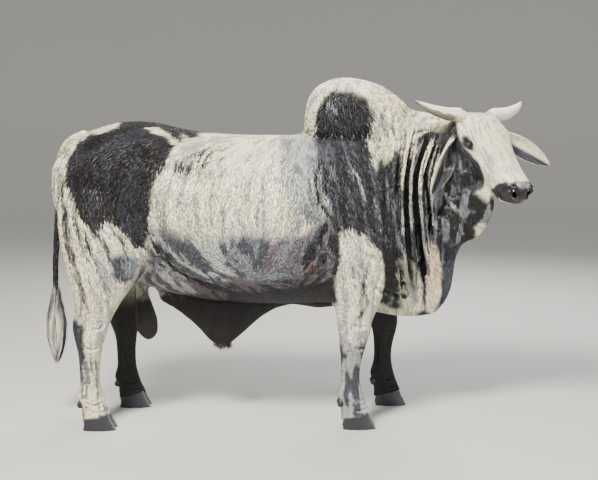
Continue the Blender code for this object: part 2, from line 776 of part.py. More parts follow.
def make_eyes(head):
    """Eyeballs in their sockets, under lids of skin with an almond opening."""
    for side in (-1, 1):
        u, v, w = EYE_PLACE
        centre = on_head(u, side * v, w)
        look = (HEAD_TURN @ Vector((EYE_LOOK[0], side * EYE_LOOK[1], EYE_LOOK[2]))).normalized()
        lid = ellipsoid("lid", centre, (EYE_RADIUS + LID_THICKNESS,) * 3, segments=12)
        boolean(head, [lid], "UNION")
        along = (HEAD_TURN @ Vector((1, 0, 0.18))).normalized()
        across = look.cross(along).normalized()
        frame = Matrix((along, across, look)).transposed()
        opening = ellipsoid("opening", centre + look * EYE_RADIUS * 1.3,
                            (LID_OPENING[0], LID_OPENING[1], EYE_RADIUS * 0.9), frame, segments=12)
        eye = ellipsoid(side_name("eye", side), centre, (EYE_RADIUS,) * 3, segments=12)
        boolean(head, [opening, grown(eye, GAP)], "DIFFERENCE")


def make_horns(head):
    for side in (-1, 1):
        root = Vector(HORN_ROOT)
        route = []
        for (u, v, w), radius in HORN:
            reach = root + Vector((u, v, w))
            route.append(on_head(reach.x, side * reach.y, reach.z))
        horn = tube(side_name("horn", side), route, [radius for _, radius in HORN], 9, 10)
        seated(horn, head)


def make_ears(head):
    """Long hanging ears, each a curled shell that opens forwards."""
    forward = Vector((math.cos(HEAD_YAW), math.sin(HEAD_YAW), 0))
    left = Vector((-math.sin(HEAD_YAW), math.cos(HEAD_YAW), 0))
    hang = {-1: Vector((-0.33, -0.29, -0.90)), 1: Vector((0.88, -0.16, -0.45))}
    for side in (-1, 1):
        length = hang[side].normalized()
        u, v, w = EAR_ROOT
        root = on_head(u, side * v, w)
        ear = ear_shell(side_name("ear", side), root, length, forward)
        seated(ear, head)


def ear_shell(name, root, length, open_to, steps=7):
    wide = length.cross(open_to).normalized()
    open_to = wide.cross(length).normalized()
    keys = [(share * EAR_LENGTH, 0, 0, half, math.radians(curl)) for share, half, curl in EAR]
    rows = through(keys, 10)
    points = []
    for reach, _, _, half, curl in rows:
        reach, half, curl = float(reach), float(half), float(curl)
        radius = half / math.sin(min(curl, math.pi / 2))
        share = reach / EAR_LENGTH
        centre = root + length * reach + open_to * (radius - EAR_THICKNESS - EAR_BEND * share)
        thick = EAR_THICKNESS * (1 - EAR_THINNING * share)
        turns = [curl * (2 * k / (steps - 1) - 1) for k in range(steps)]
        outer = [centre + radius * (wide * math.sin(a) - open_to * math.cos(a)) for a in turns]
        inner = [centre + (radius - thick) * (wide * math.sin(a) - open_to * math.cos(a)) for a in turns]
        points += outer + inner
    return mesh_object(name, points, shell_faces(len(rows), steps))


def shell_faces(rings, steps):
    """Faces of a thin curved wall, both sides split into triangles alike so that they can't cross."""
    def at(ring, k, inner):
        return ring * 2 * steps + inner * steps + k

    faces = []
    for ring in range(rings - 1):
        for inner in (0, 1):
            for k in range(steps - 1):
                here, beside = at(ring, k, inner), at(ring, k + 1, inner)
                above, across = at(ring + 1, k, inner), at(ring + 1, k + 1, inner)
                faces += [[here, beside, across], [here, across, above]]
        for k in (0, steps - 1):
            faces.append([at(ring, k, 0), at(ring, k, 1), at(ring + 1, k, 1), at(ring + 1, k, 0)])
    for ring in (0, rings - 1):
        for k in range(steps - 1):
            faces.append([at(ring, k, 0), at(ring, k + 1, 0), at(ring, k + 1, 1), at(ring, k, 1)])
    return faces


def make_muzzle(head):
    """Cuts the nostrils and the line of the mouth."""
    cutters = []
    for side in (-1, 1):
        u, v, w = NOSTRIL_PLACE
        roll = Matrix.Rotation(-side * NOSTRIL_ROLL, 3, "X")
        slant = HEAD_TURN @ roll @ Matrix.Rotation(NOSTRIL_DROP, 3, "Y")
        cutters.append(ellipsoid("nostril", on_head(u, side * v, w), NOSTRIL_RADII, slant, segments=14))
    boolean(head, cutters, "DIFFERENCE")
    tree = BVHTree.FromObject(head, bpy.context.evaluated_depsgraph_get())
    route = []
    for turn in np.linspace(-1, 1, 17):
        bend = abs(turn)
        u = MOUTH_CORNER[0] + (MOUTH_FRONT - MOUTH_CORNER[0]) * (1 - bend)
        w = MOUTH_HEIGHT + (MOUTH_CORNER[1] - MOUTH_HEIGHT) * bend**2.2
        angle = turn * MOUTH_HALF_TURN
        inside = on_head(u, 0, w)
        out = HEAD_TURN @ Vector((math.cos(angle), math.sin(angle), 0))
        hit = tree.ray_cast(inside + out * 0.3, -out)[0]
        route.append(hit)
    groove = tube("groove", route, [MOUTH_RADIUS] * len(route), 33, 6)
    boolean(head, [groove], "DIFFERENCE")


# Tail and feet

def make_tail(torso):
    tail = tube("tail", [(x, 0, z) for x, z, _ in TAIL], [radius for _, _, radius in TAIL], 14, 10)
    level(tail, TAIL[-1][1])
    boolean(torso, [grown(tail, 2 * GAP)], "DIFFERENCE", "MANIFOLD")
    keep_largest(torso)


def level(piece, height):
    """Trims a piece flat at a height."""
    boolean(piece, [block((-2, -1, -1), (0, 1, height))], "DIFFERENCE")


def switch_radius(height):
    heights, radii = zip(*SWITCH[::-1])
    return float(np.interp(height, heights, radii))


def make_switch():
    """The tail's switch: a short core, and flat locks that grow from it, bend, and overlap to their tips."""
    top = SWITCH[0][0] - GAP
    core_heights = np.linspace(top, SWITCH_CORE_END, 5)
    core_radii = [SWITCH[0][1], 0.024, 0.030, 0.026, 0.008]
    core = tube("switch", [(SWITCH_X, 0, z) for z in core_heights], core_radii, 6, 8)
    draw = random.Random(7)
    locks = []
    for k in range(LOCKS):
        around = k * math.radians(137.5)
        share = (k + 0.5) / LOCKS
        root_height = top - 0.03 - 0.17 * draw.random()
        tip_height = SWITCH[-1][0] + 0.16 * (1 - share) ** 1.3 + 0.01 * draw.random()
        swing = draw.uniform(-0.5, 0.5)
        locks.append(lock(around, root_height, tip_height, swing, draw.uniform(0.85, 1.15)))
    boolean(core, locks, "UNION")
    keep_largest(core)


def lock(around, root_height, tip_height, swing, wide):
    heights = np.linspace(root_height, tip_height, 5)
    points = []
    for i, height in enumerate(heights):
        share = i / 4
        reach = 0.008 + (switch_radius(height) - 0.008) * min(1, share * 2.2)
        angle = around + swing * share**1.5
        out = np.array((math.cos(angle), math.sin(angle), 0))
        side = np.array((-math.sin(angle), math.cos(angle), 0))
        place = np.array((SWITCH_X, 0, height)) + out * reach * (1 - 0.25 * share**3)
        half = wide * LOCK_WIDTH * (1 - share) ** 0.6 * (0.75 + 0.6 * share) + 0.0008
        thick = LOCK_THICKNESS * (1 - 0.8 * share) + 0.0003
        points += [place + side * half, place + out * thick, place - side * half, place - out * thick]
    return mesh_object("lock", points, ring_faces(5, 4))


def make_feet():
    """Two claws under each foot and two dewclaws behind it."""
    fore = ("fore", FORE_PLACE, FORE_STEP, FORE_LEG)
    hind = ("hind", HIND_PLACE, HIND_STEP, HIND_LEG)
    for pair, place, step, sections in (fore, hind):
        _, _, heel, _, out = min(sections, key=lambda row: abs(row[0] - DEWCLAW_HEIGHT))
        for side in (-1, 1):
            ahead = step if side > 0 else 0
            cannon = bpy.data.objects[side_name(pair + "_cannon", side)]
            hair_line = tilted(place + ahead, CORONET_HEIGHT, math.degrees(math.atan(CORONET_SLOPE)))
            boolean(cannon, [block((-0.3, -1, -0.5), (0.3, 1, GAP), hair_line)], "DIFFERENCE")
            for where, shift in (("inner", -side), ("outer", side)):
                foot = side_name(pair, side)
                claw(foot + "_claw_" + where, place + ahead, side * out + shift * CLAW_APART)
                centre = (heel + ahead, side * out + shift * DEWCLAW_APART, DEWCLAW_HEIGHT)
                dewclaw = ellipsoid(foot + "_dewclaw_" + where, centre, (0.015, 0.012, DEWCLAW_LENGTH / 2),
                                    Matrix.Rotation(DEWCLAW_LEAN, 3, "Y"), segments=8)
                seated(dewclaw, cannon)
            keep_largest(cannon)


def claw(name, x, y):
    """One claw: a flat sole, walls that lean back, and a top that slopes as the hair line does."""
    points = []
    for rise, length, width in CLAW:
        for turn in np.linspace(0, 2 * math.pi, CLAW_SIDES, endpoint=False):
            ahead = TOE_AHEAD * (1 - rise) + SOLE_HALF_LENGTH * length * math.cos(turn)
            narrowed = 1 - TOE_NARROWING * max(0, math.cos(turn)) ** 2
            bulge = math.copysign(abs(math.sin(turn)) ** 0.75, math.sin(turn))
            beside = CLAW_HALF_WIDTH * width * narrowed * bulge
            points.append((x + ahead, y + beside, rise * (CORONET_HEIGHT + CORONET_SLOPE * ahead)))
    return mesh_object(name, points, ring_faces(len(CLAW), CLAW_SIDES))


def make_body():
    body = fused("torso", body_forms() + head_forms(), BODY_VOXEL)
    height = vertices_of(body)[:, 2]
    smoothed(body, 26, share=0.12 + 0.88 * ease(height, 0.55, 0.85))
    carve_body(body)
    carve_neck(body)
    smoothed(body, 2)
    thinned(body, BODY_TRIANGLES)
    return body


def make_head():
    head = fused("head", head_forms() + neck_forms(), HEAD_VOXEL)
    place = np.array(head_place().inverted())
    points = vertices_of(head)
    behind = (points @ place[:3, :3].T + place[:3, 3])[:, 0] - HEAD_CUT_BACK
    smoothed(head, 110, share=1 - ease(behind, 0.0, 0.07))
    smoothed(head, 10, share=ease(behind, 0.0, 0.04))
    carve_head(head)
    carve_neck(head)
    smoothed(head, 2)
    boolean(head, [block((-0.12, -0.5, HEAD_CUT_UNDER - 0.06), (0.9, 0.5, 0.5), head_place())], "INTERSECT")
    thinned(head, HEAD_TRIANGLES)
    boolean(head, [head_block()], "INTERSECT")
    keep_largest(head)
    return head


# Finishes

FINISHES = (
    ("eye", (0.012, 0.008, 0.006), 0.08),
    ("horn", (0.40, 0.36, 0.29), 0.45),
    ("claw", (0.055, 0.058, 0.070), 0.42),
    ("switch", (0.36, 0.36, 0.35), 0.75),
    ("tail", (0.035, 0.034, 0.042), 0.70),
    ("ear", (0.52, 0.49, 0.42), 0.70),
    ("head", (0.58, 0.55, 0.47), 0.66),
    ("hump", (0.060, 0.062, 0.085), 0.66),
    ("neck", (0.085, 0.087, 0.115), 0.68),
    ("dewlap", (0.24, 0.23, 0.24), 0.68),
    ("sheath", (0.018, 0.016, 0.020), 0.70),
    ("scrotum", (0.018, 0.016, 0.020), 0.60),
    ("fore_arm_left", (0.020, 0.018, 0.022), 0.70),
    ("fore_cannon_left", (0.020, 0.018, 0.022), 0.70),
    ("hind_thigh_left", (0.018, 0.016, 0.020), 0.70),
    ("hind_cannon_left", (0.018, 0.016, 0.020), 0.70),
    ("", (0.55, 0.54, 0.49), 0.66),
)


def finish_for(name):
    for part, colour, roughness in FINISHES:
        if part in name:
            return colour, roughness


def finish_all():
    """Gathers the parts in their collection, gives each its material and sets it over the origin."""
    group = bpy.data.collections.new("brahman_bull")
    bpy.context.scene.collection.children.link(group)
    for piece in list(bpy.context.scene.collection.objects):
        bpy.context.scene.collection.objects.unlink(piece)
        group.objects.link(piece)
        colour, roughness = finish_for(piece.name)
        material = bpy.data.materials.new(piece.name)
        material.use_nodes = True
        shader = material.node_tree.nodes["Principled BSDF"]
        shader.inputs["Base Color"].default_value = (*colour, 1)
        shader.inputs["Roughness"].default_value = roughness
        shader.inputs["Metallic"].default_value = 0.0
        piece.data.materials.clear()
        piece.data.materials.append(material)
        piece.data.transform(Matrix.Translation((-MIDDLE_X, -MIDDLE_Y, 0)))
        piece.data.shade_smooth()
        piece.data.set_sharp_from_angle(angle=math.radians(50))


def main():
    clear_scene()
    body = make_body()
    boolean(body, [head_block(GAP)], "DIFFERENCE")
    keep_largest(body)
    head = make_head()
    make_horns(head)
    make_ears(head)
    make_muzzle(head)
    make_eyes(head)
    keep_largest(head)
    cut_free(body)
    make_feet()
    make_tail(body)
    make_switch()
    finish_all()


main()
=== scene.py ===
import math
import random

import bmesh
import bpy
import numpy as np
from mathutils import Matrix, Vector
from mathutils.bvhtree import BVHTree


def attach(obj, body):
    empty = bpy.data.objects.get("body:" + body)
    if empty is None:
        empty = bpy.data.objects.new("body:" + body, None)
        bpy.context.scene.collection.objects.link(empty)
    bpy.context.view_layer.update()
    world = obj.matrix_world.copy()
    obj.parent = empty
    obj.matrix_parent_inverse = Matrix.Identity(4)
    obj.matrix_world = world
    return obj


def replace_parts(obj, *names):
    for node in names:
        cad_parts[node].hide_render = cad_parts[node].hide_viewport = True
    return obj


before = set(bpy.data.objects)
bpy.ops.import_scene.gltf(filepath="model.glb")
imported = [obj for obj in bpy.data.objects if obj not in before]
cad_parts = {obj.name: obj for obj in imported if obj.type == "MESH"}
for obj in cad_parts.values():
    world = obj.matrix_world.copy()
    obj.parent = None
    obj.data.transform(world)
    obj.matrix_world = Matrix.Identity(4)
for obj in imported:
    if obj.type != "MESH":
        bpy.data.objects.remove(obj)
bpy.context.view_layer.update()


# Skin. One hide runs over trunk, hump, neck, head, ears, legs and tail with no seam, cast in one with the body.
# It is fused from the solids of the flesh, with the head worked three times as fine as the rest.
# Sizes are given from the floor between the feet, which is where the body's own frame has its origin.
OWN_FRAME = Vector((-0.0185, -0.0081, 0.0))
POLL = Vector((0.850, -0.085, 1.535))
HEAD_YAW = math.radians(-58)
HEAD_PITCH = math.radians(44)
HEAD_MIDDLE = (0.20, 0, -0.09)
HEAD_BOX_MIDDLE = (0.24, 0, -0.11)
SKIN_VOXEL = 0.0088
HEAD_FINENESS = 3.2
HEAD_REACH = (0.38, 0.66)
CUT_ANGLE = math.radians(52)
SIDES = {-1: "right", 1: "left"}
FLESH = ["torso", "neck", "hump", "dewlap", "sheath", "scrotum", "head", "tail",
         "fore_arm_left", "fore_arm_right", "fore_cannon_left", "fore_cannon_right",
         "hind_thigh_left", "hind_thigh_right", "hind_cannon_left", "hind_cannon_right"]

down_the_face = Vector((math.cos(HEAD_PITCH) * math.cos(HEAD_YAW), math.cos(HEAD_PITCH) * math.sin(HEAD_YAW),
                        -math.sin(HEAD_PITCH)))
across_the_face = Vector((-math.sin(HEAD_YAW), math.cos(HEAD_YAW), 0))
HEAD_TURN = Matrix((down_the_face, across_the_face, down_the_face.cross(across_the_face))).transposed()


def on_head(u, v, w):
    """A point in the head's own frame: u from poll to nose, v to the bull's left, w up from the face."""
    return POLL + HEAD_TURN @ Vector((u, v, w))


def merged_node(name, grow=0.0):
    """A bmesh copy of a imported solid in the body's own frame, with its loose triangles merged."""
    shape = bmesh.new()
    shape.from_mesh(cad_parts[name].data)
    bmesh.ops.translate(shape, verts=shape.verts, vec=OWN_FRAME)
    bmesh.ops.remove_doubles(shape, verts=shape.verts, dist=1e-5)
    shape.normal_update()
    for vert in shape.verts:
        vert.co += vert.normal * grow
    held = shape.edges.layers.float.new("crease_edge")
    for edge in shape.edges:
        edge[held] = float(edge.calc_face_angle(math.pi) > CUT_ANGLE)
    return shape


def new_piece(name, shape):
    """An object made of a bmesh, which is then freed."""
    mesh = bpy.data.meshes.new(name)
    shape.to_mesh(mesh)
    shape.free()
    piece = bpy.data.objects.new(name, mesh)
    bpy.context.scene.collection.objects.link(piece)
    return piece


def applied(piece):
    """Makes the mesh what the modifiers show, and removes them."""
    graph = bpy.context.evaluated_depsgraph_get()
    made = bpy.data.meshes.new_from_object(piece.evaluated_get(graph))
    piece.modifiers.clear()
    piece.data = made
    return piece


def read_points(mesh):
    """The mesh's points as rows."""
    flat = np.empty(len(mesh.vertices) * 3, np.float32)
    mesh.vertices.foreach_get("co", flat)
    return flat.reshape(-1, 3).astype(float)


def read_normals(mesh):
    """The directions out of the mesh at its points."""
    flat = np.empty(len(mesh.vertices) * 3, np.float32)
    mesh.vertex_normals.foreach_get("vector", flat)
    return flat.reshape(-1, 3).astype(float)


def write_points(mesh, points):
    mesh.vertices.foreach_set("co", points.astype(np.float32).ravel())
    mesh.update()


def ease(x, low, high):
    """0 below low and 1 above high, with a soft slope between them."""
    t = np.clip((x - low) / (high - low), 0, 1)
    return t * t * (3 - 2 * t)


def head_spread(points, back=False):
    """Swells the space about the head, so that equal voxels there are finer, or brings it back."""
    reach = np.linspace(0, 4, 4001)
    pull = 1 + (HEAD_FINENESS - 1) * (1 - ease(reach, *HEAD_REACH))
    spread = np.concatenate([[0], np.cumsum((pull[1:] + pull[:-1]) / 2 * (reach[1] - reach[0]))])
    middle = np.array(on_head(*HEAD_MIDDLE))
    away = points - middle
    far = np.linalg.norm(away, axis=1)
    moved = np.interp(far, spread, reach) if back else np.interp(far, reach, spread)
    return middle + away * (moved / np.maximum(far, 1e-9))[:, None]


def through(keys, count):
    """Rows at even steps of a smooth curve through the key rows, whose first three values are a place."""
    keys = np.array(keys, float)
    steps = np.linalg.norm(np.diff(keys[:, :3], axis=0), axis=1)
    at = np.concatenate([[0], np.cumsum(steps)])
    slopes = np.diff(keys, axis=0) / steps[:, None]
    lean = np.empty_like(keys)
    lean[0], lean[-1] = slopes[0], slopes[-1]
    before, after = steps[:-1, None], steps[1:, None]
    lean[1:-1] = (slopes[:-1] * after + slopes[1:] * before) / (before + after)
    reach = np.linspace(0, at[-1], count)
    part = np.minimum(np.searchsorted(at, reach, side="right") - 1, len(steps) - 1)
    long = steps[part][:, None]
    t = ((reach - at[part]) / steps[part])[:, None]
    return (keys[part] * (2 * t**3 - 3 * t**2 + 1) + lean[part] * long * (t**3 - 2 * t**2 + t)
            + keys[part + 1] * (3 * t**2 - 2 * t**3) + lean[part + 1] * long * (t**3 - t**2))


EAR = ((0.0, 0.024, 150), (0.08, 0.029, 135), (0.2, 0.041, 98), (0.4, 0.053, 72), (0.6, 0.053, 58),
       (0.78, 0.041, 50), (0.92, 0.023, 44), (1.0, 0.006, 40))
EAR_ROOT = (0.084, 0.132, -0.094)
EAR_HANG = {-1: Vector((-0.33, -0.29, -0.90)).normalized(), 1: Vector((0.88, -0.16, -0.45)).normalized()}
EAR_LENGTH = 0.305
EAR_THICKNESS = 0.0085
EAR_THINNING = 0.30
EAR_BEND = 0.02
HORN_PLUG = (0.022, 0.110, -0.014)
HORN_PLUG_RADII = (0.034, 0.036, 0.034)
FLESH_GROWN = 0.0004
SKIN_SPLITS = 2
SKIN_SMOOTHINGS = 30


def ear_place(side):
    """Root, direction to the tip, direction across and direction that the cup opens to."""
    root = on_head(EAR_ROOT[0], side * EAR_ROOT[1], EAR_ROOT[2])
    wide = EAR_HANG[side].cross(Vector((math.cos(HEAD_YAW), math.sin(HEAD_YAW), 0))).normalized()
    return root, EAR_HANG[side], wide, wide.cross(EAR_HANG[side]).normalized()


def ear_shell(side, rings=44, steps=23):
    """A long leaf of a given thickness that curls round its own length, as a closed wall."""
    root, length, wide, open_to = ear_place(side)
    keys = [(share * EAR_LENGTH, 0, 0, half, math.radians(curl)) for share, half, curl in EAR]
    wall = bmesh.new()
    rows = []
    for reach, _, _, half, curl in through(keys, rings).tolist():
        radius = half / math.sin(min(curl, math.pi / 2))
        share = reach / EAR_LENGTH
        middle = root + length * reach + open_to * (radius - EAR_THICKNESS - EAR_BEND * share)
        thick = EAR_THICKNESS * (1 - EAR_THINNING * share)
        turns = [curl * (2 * k / (steps - 1) - 1) for k in range(steps)]
        out = [middle + radius * (wide * math.sin(a) - open_to * math.cos(a)) for a in turns]
        back = [middle + (radius - thick) * (wide * math.sin(a) - open_to * math.cos(a)) for a in turns[::-1]]
        rows.append([wall.verts.new(place) for place in out + back])
    around = len(rows[0])
    for low, high in zip(rows, rows[1:]):
        for k in range(around):
            after = (k + 1) % around
            wall.faces.new((low[k], low[after], high[after], high[k]))
    for row in (rows[0], rows[-1]):
        for k in range(steps - 1):
            wall.faces.new((row[k], row[k + 1], row[around - 2 - k], row[around - 1 - k]))
    bmesh.ops.recalc_face_normals(wall, faces=wall.faces)
    return wall


def add_to(whole, part):
    """Joins one bmesh to another and frees it."""
    passing = bpy.data.meshes.new("passing")
    part.to_mesh(passing)
    part.free()
    whole.from_mesh(passing)
    bpy.data.meshes.remove(passing)


flesh = bmesh.new()
for name in FLESH:
    add_to(flesh, merged_node(name, grow=FLESH_GROWN))
for side in SIDES:
    add_to(flesh, ear_shell(side))
    plug = bmesh.new()
    bmesh.ops.create_icosphere(plug, subdivisions=4, radius=1.0)
    for vert in plug.verts:
        u, v, w = (middle + way * radius for middle, way, radius in zip(HORN_PLUG, vert.co, HORN_PLUG_RADII))
        vert.co = on_head(u, side * v, w)
    bmesh.ops.recalc_face_normals(plug, faces=plug.faces)
    add_to(flesh, plug)
skin = new_piece("skin", flesh)
split = skin.modifiers.new("split", "SUBSURF")
split.levels = split.render_levels = SKIN_SPLITS
applied(skin)
write_points(skin.data, head_spread(read_points(skin.data)))
fuse = skin.modifiers.new("fuse", "REMESH")
fuse.mode = "VOXEL"
fuse.voxel_size = SKIN_VOXEL
applied(skin)
write_points(skin.data, head_spread(read_points(skin.data), back=True))


def pairs_of(mesh, diagonals=False):
    """Index pairs of neighbouring points: along the edges and, if asked, across the faces."""
    ends = np.empty(len(mesh.edges) * 2, np.int32)
    mesh.edges.foreach_get("vertices", ends)
    pairs = [ends.reshape(-1, 2)]
    if diagonals:
        corners = np.empty(len(mesh.loops), np.int32)
        mesh.loops.foreach_get("vertex_index", corners)
        sides = np.empty(len(mesh.polygons), np.int32)
        mesh.polygons.foreach_get("loop_total", sides)
        first = np.concatenate([[0], np.cumsum(sides)[:-1]])[sides == 4]
        pairs += [np.stack([corners[first], corners[first + 2]], 1),
                  np.stack([corners[first + 1], corners[first + 3]], 1)]
    return np.concatenate(pairs)


def spread_to_pairs(values, pairs, weights):
    """For each point, the weighted sum of its neighbours' values."""
    count = len(values)
    total = np.bincount(pairs[:, 0], weights * values[pairs[:, 1]], count)
    return total + np.bincount(pairs[:, 1], weights * values[pairs[:, 0]], count)


def relaxed(points, pairs, repeats, share=1.0, keep_size=True):
    """Smooths points over their mesh by the share given to each. Set to keep size, it doesn't shrink the form."""
    count = len(points)
    near = np.bincount(pairs.ravel(), minlength=count)
    ones = np.ones(len(pairs))
    share = np.broadcast_to(share, count)
    for turn in range(repeats):
        steps = (0.5, -0.53) if keep_size else (0.5,)
        for step in steps:
            middle = np.stack([spread_to_pairs(points[:, k], pairs, ones) / near for k in range(3)], 1)
            points = points + (middle - points) * (step * share)[:, None]
    return points


def in_head(points):
    """Points in the head's own frame."""
    place = np.array((Matrix.Translation(POLL) @ HEAD_TURN.to_4x4()).inverted())
    return points @ place[:3, :3].T + place[:3, 3]


def about_head(face):
    """1 in a box about the head and 0 well outside it."""
    return ease(-np.abs(face - HEAD_BOX_MIDDLE).max(1), -0.36, -0.28)


skin_pairs = pairs_of(skin.data)
points = read_points(skin.data)
points = relaxed(points, skin_pairs, SKIN_SMOOTHINGS, share=1 - 0.5 * about_head(in_head(points)))
write_points(skin.data, points)

# The mesh is split once more about the eyes, the nostrils and the mouth.
EYE_PLACE = (0.168, 0.118, -0.050)
FINE_SPOTS = ((EYE_PLACE, 0.04), ((0.5, 0.05, -0.058), 0.036), ((0.395, 0.07, -0.13), 0.032),
              ((0.45, 0.062, -0.118), 0.036), ((0.505, 0.028, -0.112), 0.034))
face = in_head(points)
fine = np.zeros(len(points), bool)
for (u, v, w), reach in FINE_SPOTS:
    for side in SIDES:
        fine |= ((face - (u, side * v, w)) ** 2).sum(1) < reach**2
shape = bmesh.new()
shape.from_mesh(skin.data)
shape.verts.ensure_lookup_table()
split_edges = {edge for k in np.flatnonzero(fine) for edge in shape.verts[k].link_edges}
bmesh.ops.subdivide_edges(shape, edges=list(split_edges), cuts=1, use_grid_fill=True)
shape.to_mesh(skin.data)
shape.free()
skin_pairs = pairs_of(skin.data)
points = relaxed(read_points(skin.data), skin_pairs, 3, share=0.6)
write_points(skin.data, points)
normals = read_normals(skin.data)
face = in_head(points)
head_share = about_head(face)
face_normals = normals @ np.array(HEAD_TURN)


# Folds and muscle of the skin. The hide hangs loose at neck and dewlap, and lies tight over ribs, legs and face.
# The folds are carved into the fused hide along routes on the side view of the bull and of its head, on both
# sides, with the loose folds of the neck closest together.
def gap_to_line(flat, line, reach):
    """How far each point is from a broken line, and how far along it, for the points within reach."""
    gap = np.full(len(flat), 2.0 * reach)
    along = np.zeros(len(flat))
    near = np.flatnonzero(((flat > line.min(0) - reach) & (flat < line.max(0) + reach)).all(1))
    here, best, where = flat[near], gap[near], along[near]
    for k in range(len(line) - 1):
        step = line[k + 1] - line[k]
        share = np.clip((here - line[k]) @ step / max(step @ step, 1e-12), 0, 1)
        far = np.linalg.norm(here - line[k] - share[:, None] * step, axis=1)
        nearer = far < best
        best[nearer] = far[nearer]
        where[nearer] = (k + share[nearer]) / (len(line) - 1)
    gap[near], along[near] = best, where
    return gap, along


def smooth_line(route, count=24):
    """A smooth curve through flat or solid key places."""
    keys = [tuple(place) + (0,) * (3 - len(place)) for place in route]
    return through(keys, count)[:, :len(route[0])]


rise = np.zeros(len(points))
fold = np.zeros(len(points))
FULL_FOLD = 0.006


def carve(flat, route, width, depth, facing, lip=0.45):
    """A furrow with rounded lips, fading at its ends; with a negative depth, a ridge."""
    gap, along = gap_to_line(flat, smooth_line(route), 4 * width)
    t = gap / width
    fade = np.sin(math.pi * np.clip(along, 0.001, 0.999)) ** 0.5 * facing * (gap < 4 * width)
    shape = (lip * np.exp(-((t - 1.7) / 0.8) ** 2) - np.exp(-t**2)) * fade
    rise[:] += depth * shape
    fold[:] += np.sign(depth) * shape * min(1, abs(depth) / FULL_FOLD)


def mound(centre, radii, height, space=None):
    """A soft swelling of the surface, or a hollow where the height is negative."""
    space = points if space is None else space
    near = np.clip(1 - (((space - np.array(centre)) / np.array(radii)) ** 2).sum(1), 0, 1) ** 2
    rise[:] += height * near


NECK_FOLDS = (
    (((0.505, 1.45), (0.458, 1.2), (0.462, 0.94), (0.52, 0.6)), 0.011, 0.01),
    (((0.56, 1.455), (0.502, 1.24), (0.505, 1.0), (0.575, 0.56)), 0.01, 0.011),
    (((0.612, 1.41), (0.552, 1.23), (0.566, 0.96), (0.64, 0.57)), 0.011, 0.012),
    (((0.668, 1.42), (0.606, 1.22), (0.628, 0.98), (0.69, 0.62)), 0.009, 0.01),
    (((0.72, 1.27), (0.672, 1.12), (0.7, 0.9), (0.738, 0.7)), 0.009, 0.01),
    (((0.77, 1.18), (0.748, 1.06), (0.79, 0.93), (0.8, 0.82)), 0.009, 0.008),
)
FINE_FOLDS = 64
FINE_WIDTHS = (0.0045, 0.0085)
FINE_DEPTHS = (0.0025, 0.0060)
BODY_FOLDS = (
    ("behind shoulder", ((0.12, 1.3), (0.075, 1.08), (0.085, 0.86), (0.15, 0.72)), 0.022, 0.006),
    ("behind shoulder, second", ((0.06, 1.14), (0.035, 0.98), (0.06, 0.82)), 0.016, 0.003),
    ("elbow", ((0.1, 0.9), (0.14, 0.83), (0.15, 0.74)), 0.012, 0.006),
    ("elbow, second", ((0.165, 0.9), (0.19, 0.82), (0.185, 0.75)), 0.009, 0.004),
    ("shoulder blade", ((0.205, 1.38), (0.235, 1.22), (0.33, 1.04)), 0.022, 0.005),
    ("upper arm", ((0.26, 1.04), (0.35, 0.96), (0.43, 0.93)), 0.016, 0.005),
    ("upper arm, second", ((0.23, 0.94), (0.3, 0.86), (0.39, 0.83)), 0.014, 0.004),
    ("forearm", ((0.33, 0.85), (0.3, 0.72), (0.275, 0.58)), 0.012, 0.004),
    ("forearm, front", ((0.385, 0.8), (0.35, 0.68), (0.32, 0.56)), 0.01, 0.003),
    ("hump foot", ((0.075, 1.48), (0.17, 1.42), (0.3, 1.43), (0.4, 1.47)), 0.024, 0.0022),
    ("hump, rear", ((0.11, 1.56), (0.17, 1.5), (0.24, 1.44)), 0.012, 0.003),
    ("hump, front", ((0.41, 1.56), (0.39, 1.48), (0.42, 1.4)), 0.012, 0.004),
    ("hump, front second", ((0.46, 1.53), (0.44, 1.45), (0.462, 1.38)), 0.01, 0.004),
    ("neck root", ((0.42, 1.33), (0.402, 1.18), (0.425, 1.02)), 0.014, 0.006),
    ("neck root, second", ((0.37, 1.3), (0.362, 1.18), (0.392, 1.06)), 0.01, 0.003),
    ("flank", ((-0.64, 1.2), (-0.655, 1.0), (-0.64, 0.84), (-0.6, 0.72)), 0.024, 0.006),
    ("flank fold", ((-0.76, 0.92), (-0.69, 0.84), (-0.59, 0.76), (-0.45, 0.7)), 0.014, 0.008),
    ("flank fold, second", ((-0.72, 0.86), (-0.64, 0.77), (-0.54, 0.7)), 0.01, 0.005),
    ("stifle", ((-0.74, 0.9), (-0.705, 0.8), (-0.74, 0.71)), 0.012, 0.004),
    ("haunch", ((-1.08, 1.24), (-1.06, 1.0), (-1.03, 0.78)), 0.018, 0.005),
    ("haunch, second", ((-0.96, 1.08), (-0.95, 0.92), (-0.93, 0.78)), 0.02, 0.004),
    ("thigh, front", ((-0.83, 1.06), (-0.84, 0.9), (-0.86, 0.76)), 0.02, 0.004),
    ("tail head", ((-1.05, 1.4), (-1.09, 1.34), (-1.13, 1.24)), 0.012, 0.005),
    ("hock tendon", ((-1.052, 0.72), (-1.05, 0.62), (-1.062, 0.53)), 0.012, 0.008),
    ("brisket", ((0.35, 0.7), (0.43, 0.64), (0.54, 0.62)), 0.012, 0.006),
    ("brisket, second", ((0.4, 0.77), (0.47, 0.7), (0.56, 0.67)), 0.01, 0.004),
)
RIB_PLACES = (-0.555, -0.470, -0.385, -0.300, -0.215, -0.130, -0.045)
RIB_HEIGHT = 0.0022
RIB_WIDTH = 0.020
